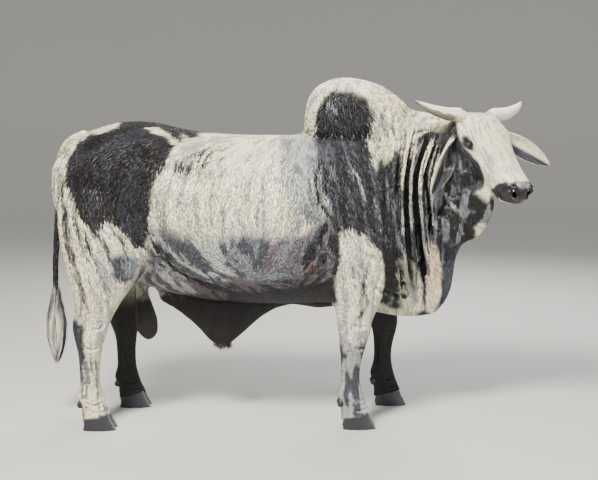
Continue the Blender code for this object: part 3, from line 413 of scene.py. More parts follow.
LEG_FOLDS = (
    ("fore tendon", 0.2, ((0.214, 0.4), (0.21, 0.3), (0.206, 0.19)), 0.007, 0.005),
    ("fore knee, top", 0.2, ((0.316, 0.512), (0.285, 0.505), (0.24, 0.52)), 0.007, 0.003),
    ("fore knee, foot", 0.2, ((0.318, 0.405), (0.285, 0.398), (0.25, 0.408)), 0.006, 0.003),
    ("fore fetlock", 0.2, ((0.3, 0.15), (0.26, 0.136), (0.22, 0.15)), 0.006, 0.003),
    ("fore pastern", 0.2, ((0.322, 0.108), (0.28, 0.098), (0.23, 0.104)), 0.005, 0.003),
    ("hind tendon", 0.12, ((-1.044, 0.43), (-1.042, 0.32), (-1.04, 0.2)), 0.007, 0.005),
    ("hind hock", 0.12, ((-0.935, 0.53), (-0.96, 0.5), (-0.995, 0.5)), 0.007, 0.003),
    ("hind hock, foot", 0.12, ((-0.95, 0.42), (-0.985, 0.4), (-1.03, 0.405)), 0.006, 0.003),
    ("hind fetlock", 0.12, ((-0.952, 0.14), (-0.99, 0.128), (-1.03, 0.142)), 0.006, 0.003),
    ("hind pastern", 0.12, ((-0.93, 0.104), (-0.97, 0.094), (-1.02, 0.1)), 0.005, 0.003),
)
FACE_MOUNDS = (
    ("forehead", (0.09, 0.0, 0.0), (0.09, 0.085, 0.06), 0.006),
    ("brow", (0.14, 0.108, -0.024), (0.052, 0.024, 0.018), 0.006),
    ("lower rim of the orbit", (0.18, 0.114, -0.088), (0.044, 0.024, 0.014), 0.004),
    ("temple", (0.078, 0.118, -0.048), (0.034, 0.034, 0.026), -0.007),
    ("nasal bone", (0.3, 0.04, -0.02), (0.13, 0.018, 0.024), 0.003),
    ("hollow beside the nose", (0.305, 0.068, -0.056), (0.1, 0.026, 0.022), -0.006),
    ("nostril wing", (0.48, 0.064, -0.056), (0.028, 0.022, 0.026), 0.004),
    ("nostril foot", (0.505, 0.04, -0.082), (0.022, 0.026, 0.014), 0.003),
    ("upper lip", (0.44, 0.074, -0.098), (0.06, 0.03, 0.02), 0.005),
    ("lower lip", (0.425, 0.06, -0.14), (0.05, 0.03, 0.014), 0.004),
    ("chewing muscle", (0.12, 0.092, -0.165), (0.08, 0.04, 0.065), 0.006),
    ("chewing muscle edge", (0.215, 0.08, -0.15), (0.03, 0.03, 0.05), -0.005),
    ("jaw", (0.2, 0.06, -0.205), (0.12, 0.03, 0.024), 0.005),
)
# On the side view of the head: along the face and up from it
FACE_FOLDS = (
    ("over the eye", ((0.128, -0.036), (0.162, -0.021), (0.204, -0.038)), 0.0032, 0.0026),
    ("over the eye, second", ((0.118, -0.028), (0.16, -0.009), (0.212, -0.03)), 0.003, 0.0018),
    ("under the eye", ((0.136, -0.066), (0.166, -0.078), (0.206, -0.068)), 0.0032, 0.0024),
    ("under the eye, second", ((0.128, -0.072), (0.166, -0.091), (0.214, -0.078)), 0.003, 0.0018),
    ("under the eye, third", ((0.15, -0.098), (0.18, -0.102), (0.22, -0.092)), 0.003, 0.0012),
    ("tear line", ((0.196, -0.052), (0.238, -0.07), (0.3, -0.096)), 0.005, 0.0028),
    ("corner of the eye", ((0.112, -0.04), (0.134, -0.047), (0.148, -0.05)), 0.003, 0.0016),
    ("corner of the eye, second", ((0.112, -0.06), (0.132, -0.056), (0.148, -0.053)), 0.003, 0.0014),
    ("jaw angle", ((0.03, -0.13), (0.052, -0.19), (0.062, -0.25)), 0.008, 0.006),
    ("jaw angle, second", ((0.062, -0.15), (0.084, -0.205), (0.1, -0.262)), 0.006, 0.003),
    ("cheek", ((0.215, -0.11), (0.238, -0.16), (0.222, -0.205)), 0.007, 0.003),
    ("corner of the mouth", ((0.352, -0.118), (0.36, -0.142), (0.35, -0.168)), 0.0036, 0.0026),
    ("corner of the mouth, second", ((0.336, -0.122), (0.343, -0.144), (0.334, -0.17)), 0.0034, 0.0018),
    ("corner of the mouth, third", ((0.32, -0.128), (0.326, -0.146), (0.318, -0.17)), 0.0034, 0.0012),
    ("behind the nostril", ((0.44, -0.034), (0.458, -0.056), (0.452, -0.086)), 0.0046, 0.0034),
    ("behind the nostril, second", ((0.42, -0.042), (0.434, -0.06), (0.428, -0.084)), 0.004, 0.0018),
    ("lip edge", ((0.4, -0.112), (0.44, -0.102), (0.48, -0.096)), 0.004, 0.0016),
    ("chin", ((0.396, -0.16), (0.425, -0.17), (0.455, -0.162)), 0.0046, 0.0024),
)
# On the front view of the head: along the face and to the side
BROW_FOLDS = (
    ("between the eyes", ((0.1, 0.02), (0.15, 0.026), (0.2, 0.02)), 0.005, 0.0016),
    ("between the eyes, second", ((0.11, 0.044), (0.155, 0.052), (0.205, 0.042)), 0.005, 0.002),
    ("forehead", ((0.02, 0.052), (0.07, 0.064), (0.12, 0.074)), 0.006, 0.002),
    ("forehead, second", ((0.02, 0.026), (0.06, 0.03), (0.1, 0.026)), 0.006, 0.0014),
    ("nose, side", ((0.24, 0.036), (0.32, 0.034), (0.42, 0.03)), 0.006, 0.0016),
)
# On the front view of the head: to the side and up
MUZZLE_FOLDS = (
    ("groove of the lip", ((0.0, -0.048), (0.0, -0.075), (0.0, -0.108)), 0.0042, 0.0034),
    ("nostril's slit", ((0.052, -0.041), (0.064, -0.038), (0.073, -0.045), (0.076, -0.058)), 0.0048, 0.007),
    ("rim over the nostril", ((0.026, -0.036), (0.042, -0.024), (0.062, -0.024), (0.078, -0.036)), 0.0065,
     -0.004),
    ("rim beside the nostril", ((0.028, -0.07), (0.046, -0.08), (0.066, -0.076)), 0.006, -0.0026),
    ("lip's upper edge", ((0.016, -0.092), (0.04, -0.09), (0.066, -0.096)), 0.005, 0.0022),
)

side_view = points[:, [0, 2]]
draw = random.Random(11)
weave = [smooth_line(route, 13) for route, _, _ in NECK_FOLDS]
off_head = 1 - ease(face[:, 0], 0.005, 0.06) * (np.abs(face[:, 1]) < 0.2)
for side, strength in ((-1, 1.0), (1, 0.7)):
    facing = strength * ease(side * normals[:, 1], 0.05, 0.45)
    on_neck = facing * off_head
    for route, width, depth in NECK_FOLDS:
        carve(side_view, route, width, depth, on_neck)
    for _ in range(FINE_FOLDS):
        place = draw.uniform(-0.35, len(weave) - 1.01)
        first = max(0, int(place))
        slant = draw.uniform(-0.35, 0.35)
        start = draw.randrange(0, 7)
        stop = min(12, start + draw.randrange(4, 8))
        shares = np.clip(place - first + slant * (np.arange(start, stop + 1) - start) / 6, -0.6, 1.4)[:, None]
        route = weave[first][start:stop + 1] * (1 - shares) + weave[first + 1][start:stop + 1] * shares
        carve(side_view, route, draw.uniform(*FINE_WIDTHS), draw.uniform(*FINE_DEPTHS), on_neck)
    for _, route, width, depth in BODY_FOLDS:
        carve(side_view, route, width, depth, facing * off_head)
    for rib in RIB_PLACES:
        carve(side_view, ((rib + 0.060, 1.300), (rib + 0.010, 1.120), (rib, 0.960), (rib + 0.030, 0.840)),
              RIB_WIDTH, -RIB_HEIGHT, facing, lip=0.2)
for side in SIDES:
    on_side = (side * points[:, 1] > 0.03) * ease(np.abs(normals[:, 1]), 0.15, 0.60) * (points[:, 2] < 0.75)
    for _, step, route, width, depth in LEG_FOLDS:
        shift = step if side > 0 else 0.0
        carve(side_view, [(x + shift, z) for x, z in route], width, depth, on_side)
for side in SIDES:
    for _, (u, v, w), radii, height in FACE_MOUNDS:
        mound((u, side * v, w), radii, height if v else height / 2, face)
    on_cheek = head_share * ease(side * face_normals[:, 1], 0.25, 0.65) * (np.abs(face[:, 1]) < 0.145)
    for _, route, width, depth in FACE_FOLDS:
        carve(face[:, [0, 2]], route, width, depth, on_cheek)
    on_front = head_share * ease(face_normals[:, 0], 0.05, 0.40) * (face[:, 0] > 0.42)
    for _, route, width, depth in MUZZLE_FOLDS:
        if side > 0 or route[0][0] > 0:
            carve(face[:, 1:], [(side * v, w) for v, w in route], width, depth, on_front)
    on_brow = head_share * ease(face_normals[:, 2], 0.25, 0.65)
    for _, route, width, depth in BROW_FOLDS:
        carve(face[:, :2], [(u, side * v) for u, v in route], width, depth, on_brow)

MOUTH_HEIGHT = -0.112
MOUTH_CORNER = (0.368, -0.140)
MOUTH_FRONT = 0.45
MOUTH_HALF_TURN = math.radians(92)
MOUTH_STEPS = 45
MOUTH_REACH = 0.016
LIP_RISE = 0.0016
MOUTH_DEPTH = 0.0048
skin_tree = BVHTree.FromObject(skin, bpy.context.evaluated_depsgraph_get())
mouth = []
for turn in np.linspace(-1, 1, MOUTH_STEPS):
    bend = abs(turn)
    start = on_head(MOUTH_CORNER[0] + (MOUTH_FRONT - MOUTH_CORNER[0]) * (1 - bend), 0,
                    MOUTH_HEIGHT + (MOUTH_CORNER[1] - MOUTH_HEIGHT) * bend**2.2)
    out = HEAD_TURN @ Vector((math.cos(turn * MOUTH_HALF_TURN), math.sin(turn * MOUTH_HALF_TURN), 0))
    mouth.append(skin_tree.ray_cast(start + out * 0.3, -out)[0])
gap, along = gap_to_line(points, np.array(mouth), MOUTH_REACH)
at_mouth = np.sin(math.pi * np.clip(along, 0.02, 0.98)) ** 0.3 * (gap < MOUTH_REACH)
rise += at_mouth * (LIP_RISE * np.exp(-((gap - 0.0062) / 0.0030) ** 2)
                    - MOUTH_DEPTH * np.exp(-(gap / 0.0021) ** 2))
lips = at_mouth * np.exp(-(gap / 0.0030) ** 2)

NOSTRIL_PLACE = (0.501, 0.046, -0.055)
NOSTRIL_TURN = (math.radians(28), math.radians(20))
NOSTRIL_RADII = (0.024, 0.012, 0.024)
NOSTRIL_RIM = 0.0030
NOSTRIL_DEPTH = 0.0040
nostrils = np.zeros(len(points))
for side in SIDES:
    roll, tip_up = NOSTRIL_TURN
    slant = np.array(Matrix.Rotation(-side * roll, 3, "X") @ Matrix.Rotation(tip_up, 3, "Y"))
    u, v, w = NOSTRIL_PLACE
    inside = (face - (u, side * v, w)) @ slant
    ring = np.sqrt(sum((inside[:, k] / radius) ** 2 for k, radius in enumerate(NOSTRIL_RADII)))
    rise += NOSTRIL_RIM * np.exp(-((ring - 1.55) / 0.35) ** 2)
    rise -= NOSTRIL_DEPTH * (1 - ease(ring, 0.70, 1.15))
    nostrils = np.maximum(nostrils, 1 - ease(ring, 0.80, 1.10))

# The skin lies inside the solids by the depth of the coat that it carries
COAT_DEPTH = 0.0058
HEAD_COAT_DEPTH = 0.0024
EAR_COAT_DEPTH = 0.0010
MUZZLE_DRAWN_IN = 0.0042
depth = COAT_DEPTH * (0.35 + 0.65 * ease(points[:, 2], 0.45, 0.80))
depth += (HEAD_COAT_DEPTH - depth) * ease(face[:, 0], 0.0, 0.10) * (face[:, 2] > -0.32)
depth += ((EAR_COAT_DEPTH - depth) * ease(np.abs(face[:, 1]), 0.140, 0.165) * (np.abs(face[:, 0] - 0.2) < 0.25)
          * (np.abs(face[:, 2] + 0.2) < 0.25) * ease(points[:, 0], 0.56, 0.62))
depth += MUZZLE_DRAWN_IN * ease(face[:, 0], 0.455, 0.490) * (np.abs(face[:, 1]) < 0.12)
points = points + normals * (rise - depth)[:, None]
points = relaxed(points, skin_pairs, 1)

# The lids close over the eyeball to an almond, with a thick rim, and a fold runs above the upper lid.
EYE_RADIUS = 0.0205
EYE_LOOK = (0.16, 0.97, 0.10)
LID_HALF = 0.0185
LID_UP = 0.0112
LID_DOWN = 0.0088
LID_CURVE = 1.75
LID_REACH = 0.040
LID_GAP = 0.0005
LID_THICKNESS = 0.0040
UPPER_LID_FOLD = 0.0020
LOWER_LID_FOLD = 0.0010
SOCKET_DEPTH = 0.0045
lids = np.zeros(len(points))
eye_axes = {}
for side in SIDES:
    centre = np.array(on_head(EYE_PLACE[0], side * EYE_PLACE[1], EYE_PLACE[2]))
    look = np.array((HEAD_TURN @ Vector((EYE_LOOK[0], side * EYE_LOOK[1], EYE_LOOK[2]))).normalized())
    above = np.array(HEAD_TURN @ Vector((-0.18, 0, 1)))
    above -= look * (above @ look)
    above /= np.linalg.norm(above)
    beside = np.cross(above, look) * side
    eye_axes[side] = (centre, look, above, beside)
    away = points - centre
    out, high, wide = away @ look, away @ above, away @ beside
    here = np.flatnonzero((np.abs(out - 0.014) < 0.020) & (np.hypot(high, wide) < LID_REACH))
    out, high, wide = out[here], high[here], wide[here]
    tall = np.where(high > 0, LID_UP, LID_DOWN)
    rim = ((np.abs(wide) / LID_HALF) ** LID_CURVE + (np.abs(high) / tall) ** LID_CURVE) ** (1 / LID_CURVE)
    snapped = (rim > 0.80) & (rim < 1.10)
    pull = np.where(snapped, 1 / np.maximum(rim, 0.1), 1)
    wide, high = wide * pull, high * pull
    rim = np.where(snapped, 1.0, rim)
    thick = LID_GAP + LID_THICKNESS * ease(rim, 1.0, 1.32)
    thick -= UPPER_LID_FOLD * np.exp(-((rim - 1.52) / 0.11) ** 2) * (high > 0)
    thick -= LOWER_LID_FOLD * np.exp(-((rim - 1.50) / 0.12) ** 2) * (high <= 0)
    flat = wide**2 + high**2
    lid = np.sqrt(np.maximum((EYE_RADIUS + thick) ** 2 - flat, 0.004**2))
    socket = np.sqrt(np.maximum(EYE_RADIUS**2 - flat, 0)) - SOCKET_DEPTH
    share = 1 - ease(rim, 1.45, 2.05)
    out = np.where(rim < 1, socket, lid * share + out * (1 - share))
    points[here] = centre + out[:, None] * look + high[:, None] * above + wide[:, None] * beside
    lids[here] = np.maximum(lids[here], np.exp(-((rim - 1.0) / 0.20) ** 2))
write_points(skin.data, points)


# Lie of the coat, and its streaks. Short hair lies from the poll down the face, back and down over the body,
# down the legs and out along the ears. Its directions are blended from key places on the side view, and
# the streaks are grains of light and dark drawn out along them.
LIE = (
    (-1.0, 1.44, -0.9, -0.4), (-1.15, 1.25, -0.2, -1.0), (-0.85, 1.42, -0.7, -0.7),
    (-0.8, 1.15, -0.25, -1.0), (-1.0, 1.15, -0.1, -1.0), (-1.05, 0.9, 0.15, -1.0),
    (-0.92, 0.95, 0.35, -1.0), (-0.78, 0.95, 0.35, -1.0), (-0.62, 1.42, -0.8, -0.6),
    (-0.62, 1.2, -0.25, -1.0), (-0.62, 1.0, 0.15, -1.0), (-0.6, 0.8, 0.7, -0.8), (-0.35, 1.38, -0.5, -0.9),
    (-0.35, 1.15, -0.15, -1.0), (-0.35, 0.95, 0.3, -1.0), (-0.4, 0.74, 0.9, -0.5),
    (-0.1, 1.35, -0.25, -1.0), (-0.1, 1.1, 0.0, -1.0), (-0.1, 0.9, -0.4, -0.9), (-0.1, 0.7, 0.95, 0.1),
    (0.05, 1.25, 0.15, -1.0), (0.07, 0.95, -0.3, -1.0), (0.05, 0.75, -0.7, -0.6), (-0.85, 0.75, 0.1, -1.0),
    (0.05, 1.52, -0.5, -1.0), (0.2, 1.66, -0.2, -1.0), (0.22, 1.5, 0.3, -1.0), (0.4, 1.56, 0.45, -0.9),
    (0.15, 1.25, 0.2, -1.0), (0.3, 1.25, 0.25, -1.0), (0.2, 1.0, 0.3, -1.0), (0.3, 0.85, 0.2, -1.0),
    (0.45, 1.35, -0.25, -1.0), (0.46, 1.05, 0.12, -1.0), (0.55, 1.42, -0.4, -0.9), (0.56, 1.1, 0.0, -1.0),
    (0.5, 0.75, 0.45, -0.9), (0.62, 0.85, 0.1, -1.0), (0.68, 1.2, -0.2, -1.0), (0.75, 1.05, -0.1, -1.0),
    (0.7, 0.75, 0.0, -1.0), (0.84, 1.0, -0.4, -0.9), (0.28, 0.5, 0.0, -1.0), (-1.0, 0.5, 0.1, -1.0),
)
LIE_REACH = 0.11


def lie_of(points, normals, face, ears):
    """Unit directions along the surface that the hair lies in."""
    flow = np.zeros((len(points), 3))
    for x, z, ahead, up in LIE:
        away = ((points[:, 0] - x) ** 2 + (points[:, 2] - z) ** 2) / LIE_REACH**2
        step = np.array((ahead, 0.0, up)) / math.hypot(ahead, up)
        flow += step / (0.02 + away)[:, None] ** 2
    flow /= np.linalg.norm(flow, axis=1)[:, None]
    low = 1 - ease(points[:, 2], 0.60, 0.78)
    flow = flow * (1 - low)[:, None] + np.array((0.02, 0.0, -1.0)) * low[:, None]
    down_face = np.stack([np.ones(len(face)), np.sign(face[:, 1]) * 0.25 * ease(face[:, 2], -0.12, -0.04),
                          -0.55 * ease(-face[:, 2], 0.05, 0.14)], 1) @ np.array(HEAD_TURN).T
    share = (head_share_of(face) * (1 - ears[-1] - ears[1]))[:, None]
    flow = flow * (1 - share) + down_face * share
    for side in SIDES:
        flow = flow * (1 - ears[side])[:, None] + np.array(EAR_HANG[side]) * ears[side][:, None]
    flow -= normals * (flow * normals).sum(1)[:, None]
    return flow / np.maximum(np.linalg.norm(flow, axis=1), 1e-6)[:, None]


def head_share_of(face):
    """1 on the head in front of the neck and above the throat, 0 behind and below."""
    beside = ease(-np.abs(face[:, 1]), -0.20, -0.16)
    jaw = np.interp(face[:, 0], (0.00, 0.20, 0.28, 0.36, 0.55), (-0.300, -0.280, -0.235, -0.205, -0.200))
    return ease(face[:, 0], 0.00, 0.05) * beside * ease(face[:, 2] - jaw, -0.012, 0.012)


under_ears = merged_node("head")
add_to(under_ears, merged_node("neck"))
under_ears = BVHTree.FromBMesh(under_ears)
ear_trees = {side: BVHTree.FromBMesh(merged_node(f"ear_{name}")) for side, name in SIDES.items()}


def ear_shares(points):
    """How far each point belongs to either ear, and lies in its cup, near its rim and in its upper half."""
    shares, cups = {}, {}
    reaches = [share * EAR_LENGTH for share, _, _ in EAR]
    curls = np.radians([curl for _, _, curl in EAR])
    radii = [half / math.sin(min(curl, math.pi / 2)) for (_, half, _), curl in zip(EAR, curls)]
    for side in SIDES:
        root, length, wide, open_to = (np.array(axis) for axis in ear_place(side))
        away = points - root
        reach, across, out = away @ length, away @ wide, away @ open_to
        radius = np.interp(reach, reaches, radii)
        curl = np.interp(reach, reaches, curls)
        part = reach / EAR_LENGTH
        thick = EAR_THICKNESS * (1 - EAR_THINNING * part)
        middle = radius - EAR_THICKNESS - EAR_BEND * part
        from_axis = np.hypot(across, out - middle)
        turn = np.abs(np.arctan2(across, middle - out))
        in_wall = ease(from_axis, radius - thick - 0.008, radius - thick - 0.005)
        in_wall *= ease(-from_axis, -radius - 0.008, -radius - 0.005)
        in_wall *= ease(-turn, -curl - 0.30, -curl - 0.15)
        in_wall *= ease(reach, 0.010, 0.040) * (reach < EAR_LENGTH + 0.02)
        close = np.flatnonzero(in_wall > 0)
        apart = np.array([under_ears.find_nearest(place)[3] for place in points[close].tolist()])
        strayed = np.array([ear_trees[side].find_nearest(place)[3] for place in points[close].tolist()])
        in_wall[close] *= ease(apart, 0.005, 0.011) * (1 - ease(strayed, 0.010, 0.016))
        shares[side] = in_wall
        rim = ease(turn / curl, 0.60, 0.78) * (1 - ease(turn / curl, 0.84, 0.92))
        upper = ease(-side * across, -0.006 if side > 0 else 0.010, 0.014 if side > 0 else 0.026)
        cups[side] = (1 - ease(from_axis, radius - 0.62 * thick, radius - 0.38 * thick), rim, upper)
    return shares, cups


LATTICE = 64
CHANCE = np.random.default_rng(5).uniform(-1, 1, (LATTICE, LATTICE, LATTICE))
GRAIN_SPREAD = 0.335


def grain(points, cell, seed):
    """Smooth random values from -1 to 1 on a lattice in space."""
    place = points / cell + seed * 17.31
    base = np.floor(place).astype(np.int64)
    part = place - base
    part = part * part * (3 - 2 * part)
    base &= LATTICE - 1
    after = (base + 1) & (LATTICE - 1)
    total = 0
    for i, x in ((1 - part[:, 0], base[:, 0]), (part[:, 0], after[:, 0])):
        for j, y in ((1 - part[:, 1], base[:, 1]), (part[:, 1], after[:, 1])):
            for k, z in ((1 - part[:, 2], base[:, 2]), (part[:, 2], after[:, 2])):
                total = total + i * j * k * CHANCE[x, y, z]
    return total


def drawn_out(points, lie, cell, length, seed, steps):
    """Grains drawn out along the lie into streaks, as even shares from 0 to 1."""
    total = 0
    for reach in np.linspace(-length, length, steps):
        total = total + grain(points + lie * reach, cell, seed)
    spread = GRAIN_SPREAD * math.sqrt(steps * min(1.0, (steps - 1) * cell * 0.62 / length / 2 + 1 / steps))
    return 1 / (1 + np.exp(-1.2 * total / spread))


# Size of the grain and half the streak's length on the body, the same on the head, and the seed
STREAKS = {"broad": (0.026, 0.100, 0.010, 0.040, 3), "narrow": (0.011, 0.060, 0.0055, 0.026, 8)}
STREAK_STEPS = 9


def streaks_of(points, lie, on_head_share):
    """The broad and the narrow streaks, each as shares from 0 to 1."""
    made = {}
    for kind, (cell, length, head_cell, head_length, seed) in STREAKS.items():
        made[kind] = drawn_out(points, lie, cell, length, seed, STREAK_STEPS)
        on = np.flatnonzero(on_head_share > 0)
        finer = drawn_out(points[on], lie[on], head_cell, head_length, seed + 1, STREAK_STEPS)
        made[kind][on] += (finer - made[kind][on]) * on_head_share[on]
    return made


write_points(skin.data, points)
normals = read_normals(skin.data)
face = in_head(points)
face_normals = normals @ np.array(HEAD_TURN)
ears, cups = ear_shares(points)
on_head_share = head_share_of(face)
lie = lie_of(points, normals, face, ears)
damp = np.maximum(np.maximum(nostrils, lips), lids * 0.9)


# Markings. The hair is cream, with black, slate and mauve patches, and painted shade and painted highlight are
# laid in among them. They are drawn as outlines and strokes on the side view of the body and head, with wavering
# edges, and each is laid in two colours that the streaks part.
# The near legs are pale, and the far ones are painted black as shade.
PAINTS = {
    "white": (250, 243, 216), "cream": (240, 231, 196), "light": (174, 176, 170), "grey": (124, 129, 132),
    "slate": (70, 72, 80), "blue": (38, 38, 45), "charcoal": (26, 24, 26), "black": (20, 16, 17),
    "mauve": (100, 90, 97), "brown": (86, 64, 52), "rust": (84, 38, 22), "pink": (222, 190, 168),
}


def paint(name):
    """A named colour in linear light."""
    return np.array([((c / 255 + 0.055) / 1.055) ** 2.4 for c in PAINTS[name]])


def in_outline(flat, outline, soft):
    """1 inside a smooth closed outline and 0 outside, with an edge as soft as asked."""
    line = np.array([*outline, outline[0]], float)
    gap, _ = gap_to_line(flat, line, 4 * soft + 0.02)
    crossings = np.zeros(len(flat), bool)
    near = np.flatnonzero(((flat > line.min(0)) & (flat < line.max(0))).all(1))
    here = flat[near]
    odd = np.zeros(len(near), bool)
    for (x0, z0), (x1, z1) in zip(line[:-1], line[1:]):
        if z0 != z1:
            cut = (z0 > here[:, 1]) != (z1 > here[:, 1])
            odd ^= cut & (here[:, 0] < x0 + (here[:, 1] - z0) * (x1 - x0) / (z1 - z0))
    crossings[near] = odd
    return ease(np.where(crossings, gap, -gap), -soft, soft)


def on_route(flat, route, width):
    """1 on a smooth route and 0 beyond its half width, thinning to its ends."""
    gap, along = gap_to_line(flat, smooth_line(route, 16), 2 * width)
    taper = np.sin(math.pi * np.clip(along, 0.02, 0.98)) ** 0.4
    return 1 - ease(gap, 0.55 * width * taper, width * taper + 1e-4)


# Outline, softness, the two paints (None keeps what lies below), streaks, share of the second paint
BODY_MARKS = (
    # Painted shade: the barrel is laid greyer toward its foot.
    ("grey over the barrel's foot", ((-0.72, 1.0), (-0.45, 0.95), (-0.28, 0.98), (-0.05, 0.96), (0.16, 0.9),
     (0.16, 0.6), (-0.82, 0.6)), 0.05, "light", "slate", "broad", 0.42),
    ("grey at the shoulder", ((-0.09, 1.42), (0.07, 1.4), (0.13, 1.2), (0.15, 1.0), (-0.04, 1.02),
     (-0.1, 1.2)), 0.03, "light", "grey", "broad", 0.5),
    ("mauve behind the elbow", ((-0.1, 0.95), (0.05, 0.99), (0.12, 0.92), (0.07, 0.76), (-0.12, 0.72),
     (-0.4, 0.72), (-0.28, 0.8)), 0.022, "mauve", "grey", "narrow", 0.45),
    # Painted shade: the belly and its edge are laid mauve and blue, darker downward.
    ("mauve belly", ((-0.6, 0.76), (-0.4, 0.73), (-0.1, 0.74), (0.14, 0.78), (0.16, 0.55), (-0.72, 0.55)),
     0.014, "mauve", "blue", "narrow", 0.52),
    ("blue belly edge", ((-0.36, 0.68), (-0.15, 0.69), (0.16, 0.75), (0.16, 0.55), (-0.36, 0.55)), 0.01,
     "blue", "charcoal", "narrow", 0.4),
    ("grey strokes on the flank", ((-0.62, 1.27), (-0.56, 1.33), (-0.45, 1.36), (-0.34, 1.36), (-0.36, 1.31),
     (-0.45, 1.27), (-0.55, 1.23)), 0.014, None, "slate", "narrow", 0.55),
    ("grey patch low on the barrel", ((-0.38, 0.83), (-0.27, 0.97), (-0.21, 0.95), (-0.14, 0.94),
     (-0.18, 0.83), (-0.29, 0.76)), 0.01, "slate", "grey", "broad", 0.42),
    ("fan behind the elbow", ((0.05, 0.96), (0.13, 1.06), (0.19, 1.0), (0.18, 0.8), (0.13, 0.72),
     (0.02, 0.76), (0.0, 0.84)), 0.01, "charcoal", "mauve", "broad", 0.32),
    ("rust spot", ((0.05, 0.83), (0.075, 0.81), (0.07, 0.775), (0.045, 0.785)), 0.006, "rust", "charcoal",
     "narrow", 0.3),
    # The rump patch stops short of the rump's rear edge, which stays cream as a painted highlight.
    ("rump patch", ((-0.82, 1.52), (-0.72, 1.49), (-0.58, 1.45), (-0.55, 1.39), (-0.6, 1.36), (-0.625, 1.32),
     (-0.655, 1.27), (-0.7, 1.18), (-0.716, 1.06), (-0.728, 0.98), (-0.755, 0.9), (-0.795, 0.9),
     (-0.842, 0.965), (-0.87, 1.005), (-0.924, 1.025), (-0.97, 0.95), (-1.017, 0.995), (-1.07, 1.09),
     (-1.12, 1.2), (-1.118, 1.285), (-1.063, 1.372), (-0.964, 1.425), (-0.87, 1.455)), 0.008, "black", "blue",
     "broad", 0.34),
    ("top strip", ((-0.82, 1.53), (-0.62, 1.51), (-0.47, 1.47), (-0.4, 1.43), (-0.5, 1.405), (-0.6, 1.412),
     (-0.7, 1.44), (-0.78, 1.452)), 0.008, "black", "charcoal", "broad", 0.35),
    ("grey patch above the stifle", ((-0.9, 0.85), (-0.845, 0.88), (-0.775, 0.845), (-0.76, 0.76),
     (-0.85, 0.725), (-0.9, 0.76)), 0.012, "grey", "slate", "broad", 0.5),
    ("grey flank fold", ((-0.78, 0.815), (-0.68, 0.8), (-0.59, 0.745), (-0.45, 0.69), (-0.59, 0.64),
     (-0.74, 0.66), (-0.8, 0.73)), 0.012, "mauve", "light", "broad", 0.45),
    ("shoulder", ((0.073, 1.42), (0.073, 1.317), (0.094, 1.206), (0.144, 1.013), (0.177, 0.985), (0.28, 0.96),
     (0.356, 0.898), (0.394, 0.818), (0.4, 0.69), (0.44, 0.6), (0.475, 0.66), (0.47, 0.8), (0.48, 1.0),
     (0.478, 1.2), (0.47, 1.33), (0.42, 1.44), (0.3, 1.48), (0.12, 1.48)), 0.01, "charcoal", "slate",
     "narrow", 0.26),
    ("hump", ((0.073, 1.4), (0.08, 1.5), (0.095, 1.58), (0.141, 1.624), (0.227, 1.636), (0.313, 1.6),
     (0.35, 1.51), (0.345, 1.42), (0.2, 1.38)), 0.01, "charcoal", "blue", "narrow", 0.5),
    ("front slope of the hump", ((0.33, 1.6), (0.352, 1.5), (0.335, 1.42), (0.318, 1.4), (0.333, 1.29),
     (0.35, 1.25), (0.372, 1.33), (0.392, 1.285), (0.431, 1.31), (0.462, 1.4), (0.5, 1.48), (0.62, 1.5),
     (0.48, 1.64), (0.33, 1.7)), 0.008, "cream", "light", "narrow", 0.42),
    ("dark of the chest", ((0.392, 0.9), (0.445, 0.9), (0.462, 0.76), (0.474, 0.66), (0.462, 0.575),
     (0.385, 0.59), (0.388, 0.65), (0.398, 0.703)), 0.008, "black", "charcoal", "narrow", 0.3),
)
NECK_MARKS = (
    ("neck", ((0.478, 1.36), (0.52, 1.48), (0.64, 1.56), (0.9, 1.56), (0.98, 1.0), (0.9, 0.8), (0.78, 0.5),
     (0.43, 0.5), (0.462, 0.76), (0.48, 1.1)), 0.01, "charcoal", "grey", "broad", 0.36),
    ("cream crest", ((0.5, 1.43), (0.56, 1.455), (0.72, 1.43), (0.86, 1.44), (0.86, 1.62), (0.46, 1.62)),
     0.01, "cream", "light", "narrow", 0.4),
    ("dewlap lobe", ((0.452, 0.83), (0.5, 0.85), (0.548, 0.8), (0.6, 0.68), (0.61, 0.56), (0.56, 0.5),
     (0.51, 0.54), (0.48, 0.66)), 0.008, "cream", "light", "narrow", 0.45),
    ("second lobe", ((0.615, 0.9), (0.664, 0.89), (0.688, 0.78), (0.69, 0.64), (0.66, 0.54), (0.625, 0.54),
     (0.62, 0.72)), 0.007, "pink", "cream", "narrow", 0.6),
    ("slate edge", ((0.694, 0.9), (0.79, 0.9), (0.78, 0.56), (0.7, 0.56)), 0.008, "slate", "blue", "broad",
     0.35),
    ("throat lobe", ((0.835, 0.985), (0.865, 1.01), (0.915, 0.98), (0.915, 0.9), (0.85, 0.885)), 0.008,
     "cream", "light", "narrow", 0.3),
    ("brisket", ((0.34, 0.58), (0.4, 0.568), (0.46, 0.56), (0.52, 0.56), (0.52, 0.5), (0.34, 0.5)), 0.008,
     "light", "cream", "narrow", 0.45),
)
LEG_MARKS = (
    ("pale foreleg", ((0.172, 0.975), (0.234, 0.985), (0.318, 0.932), (0.358, 0.85), (0.366, 0.7),
     (0.345, 0.48), (0.345, 0.42), (0.165, 0.42), (0.165, 0.632), (0.176, 0.824)), 0.008, "white", "light",
     "narrow", 0.34),
    ("fore cannon", ((0.34, 0.43), (0.16, 0.43), (0.15, 0.0), (0.37, 0.0)), 0.03, "light", "slate", "broad",
     0.3),
    ("hind cannon", ((-0.9, 0.36), (-1.13, 0.4), (-1.12, 0.0), (-0.86, 0.0)), 0.02, "cream", "grey", "narrow",
     0.36),
    # Painted shade down the rear of the hock and cannon.
    ("hock", ((-1.035, 0.52), (-1.12, 0.56), (-1.11, 0.24), (-1.05, 0.24), (-1.04, 0.4)), 0.012, "slate",
     "blue", "narrow", 0.35),
)
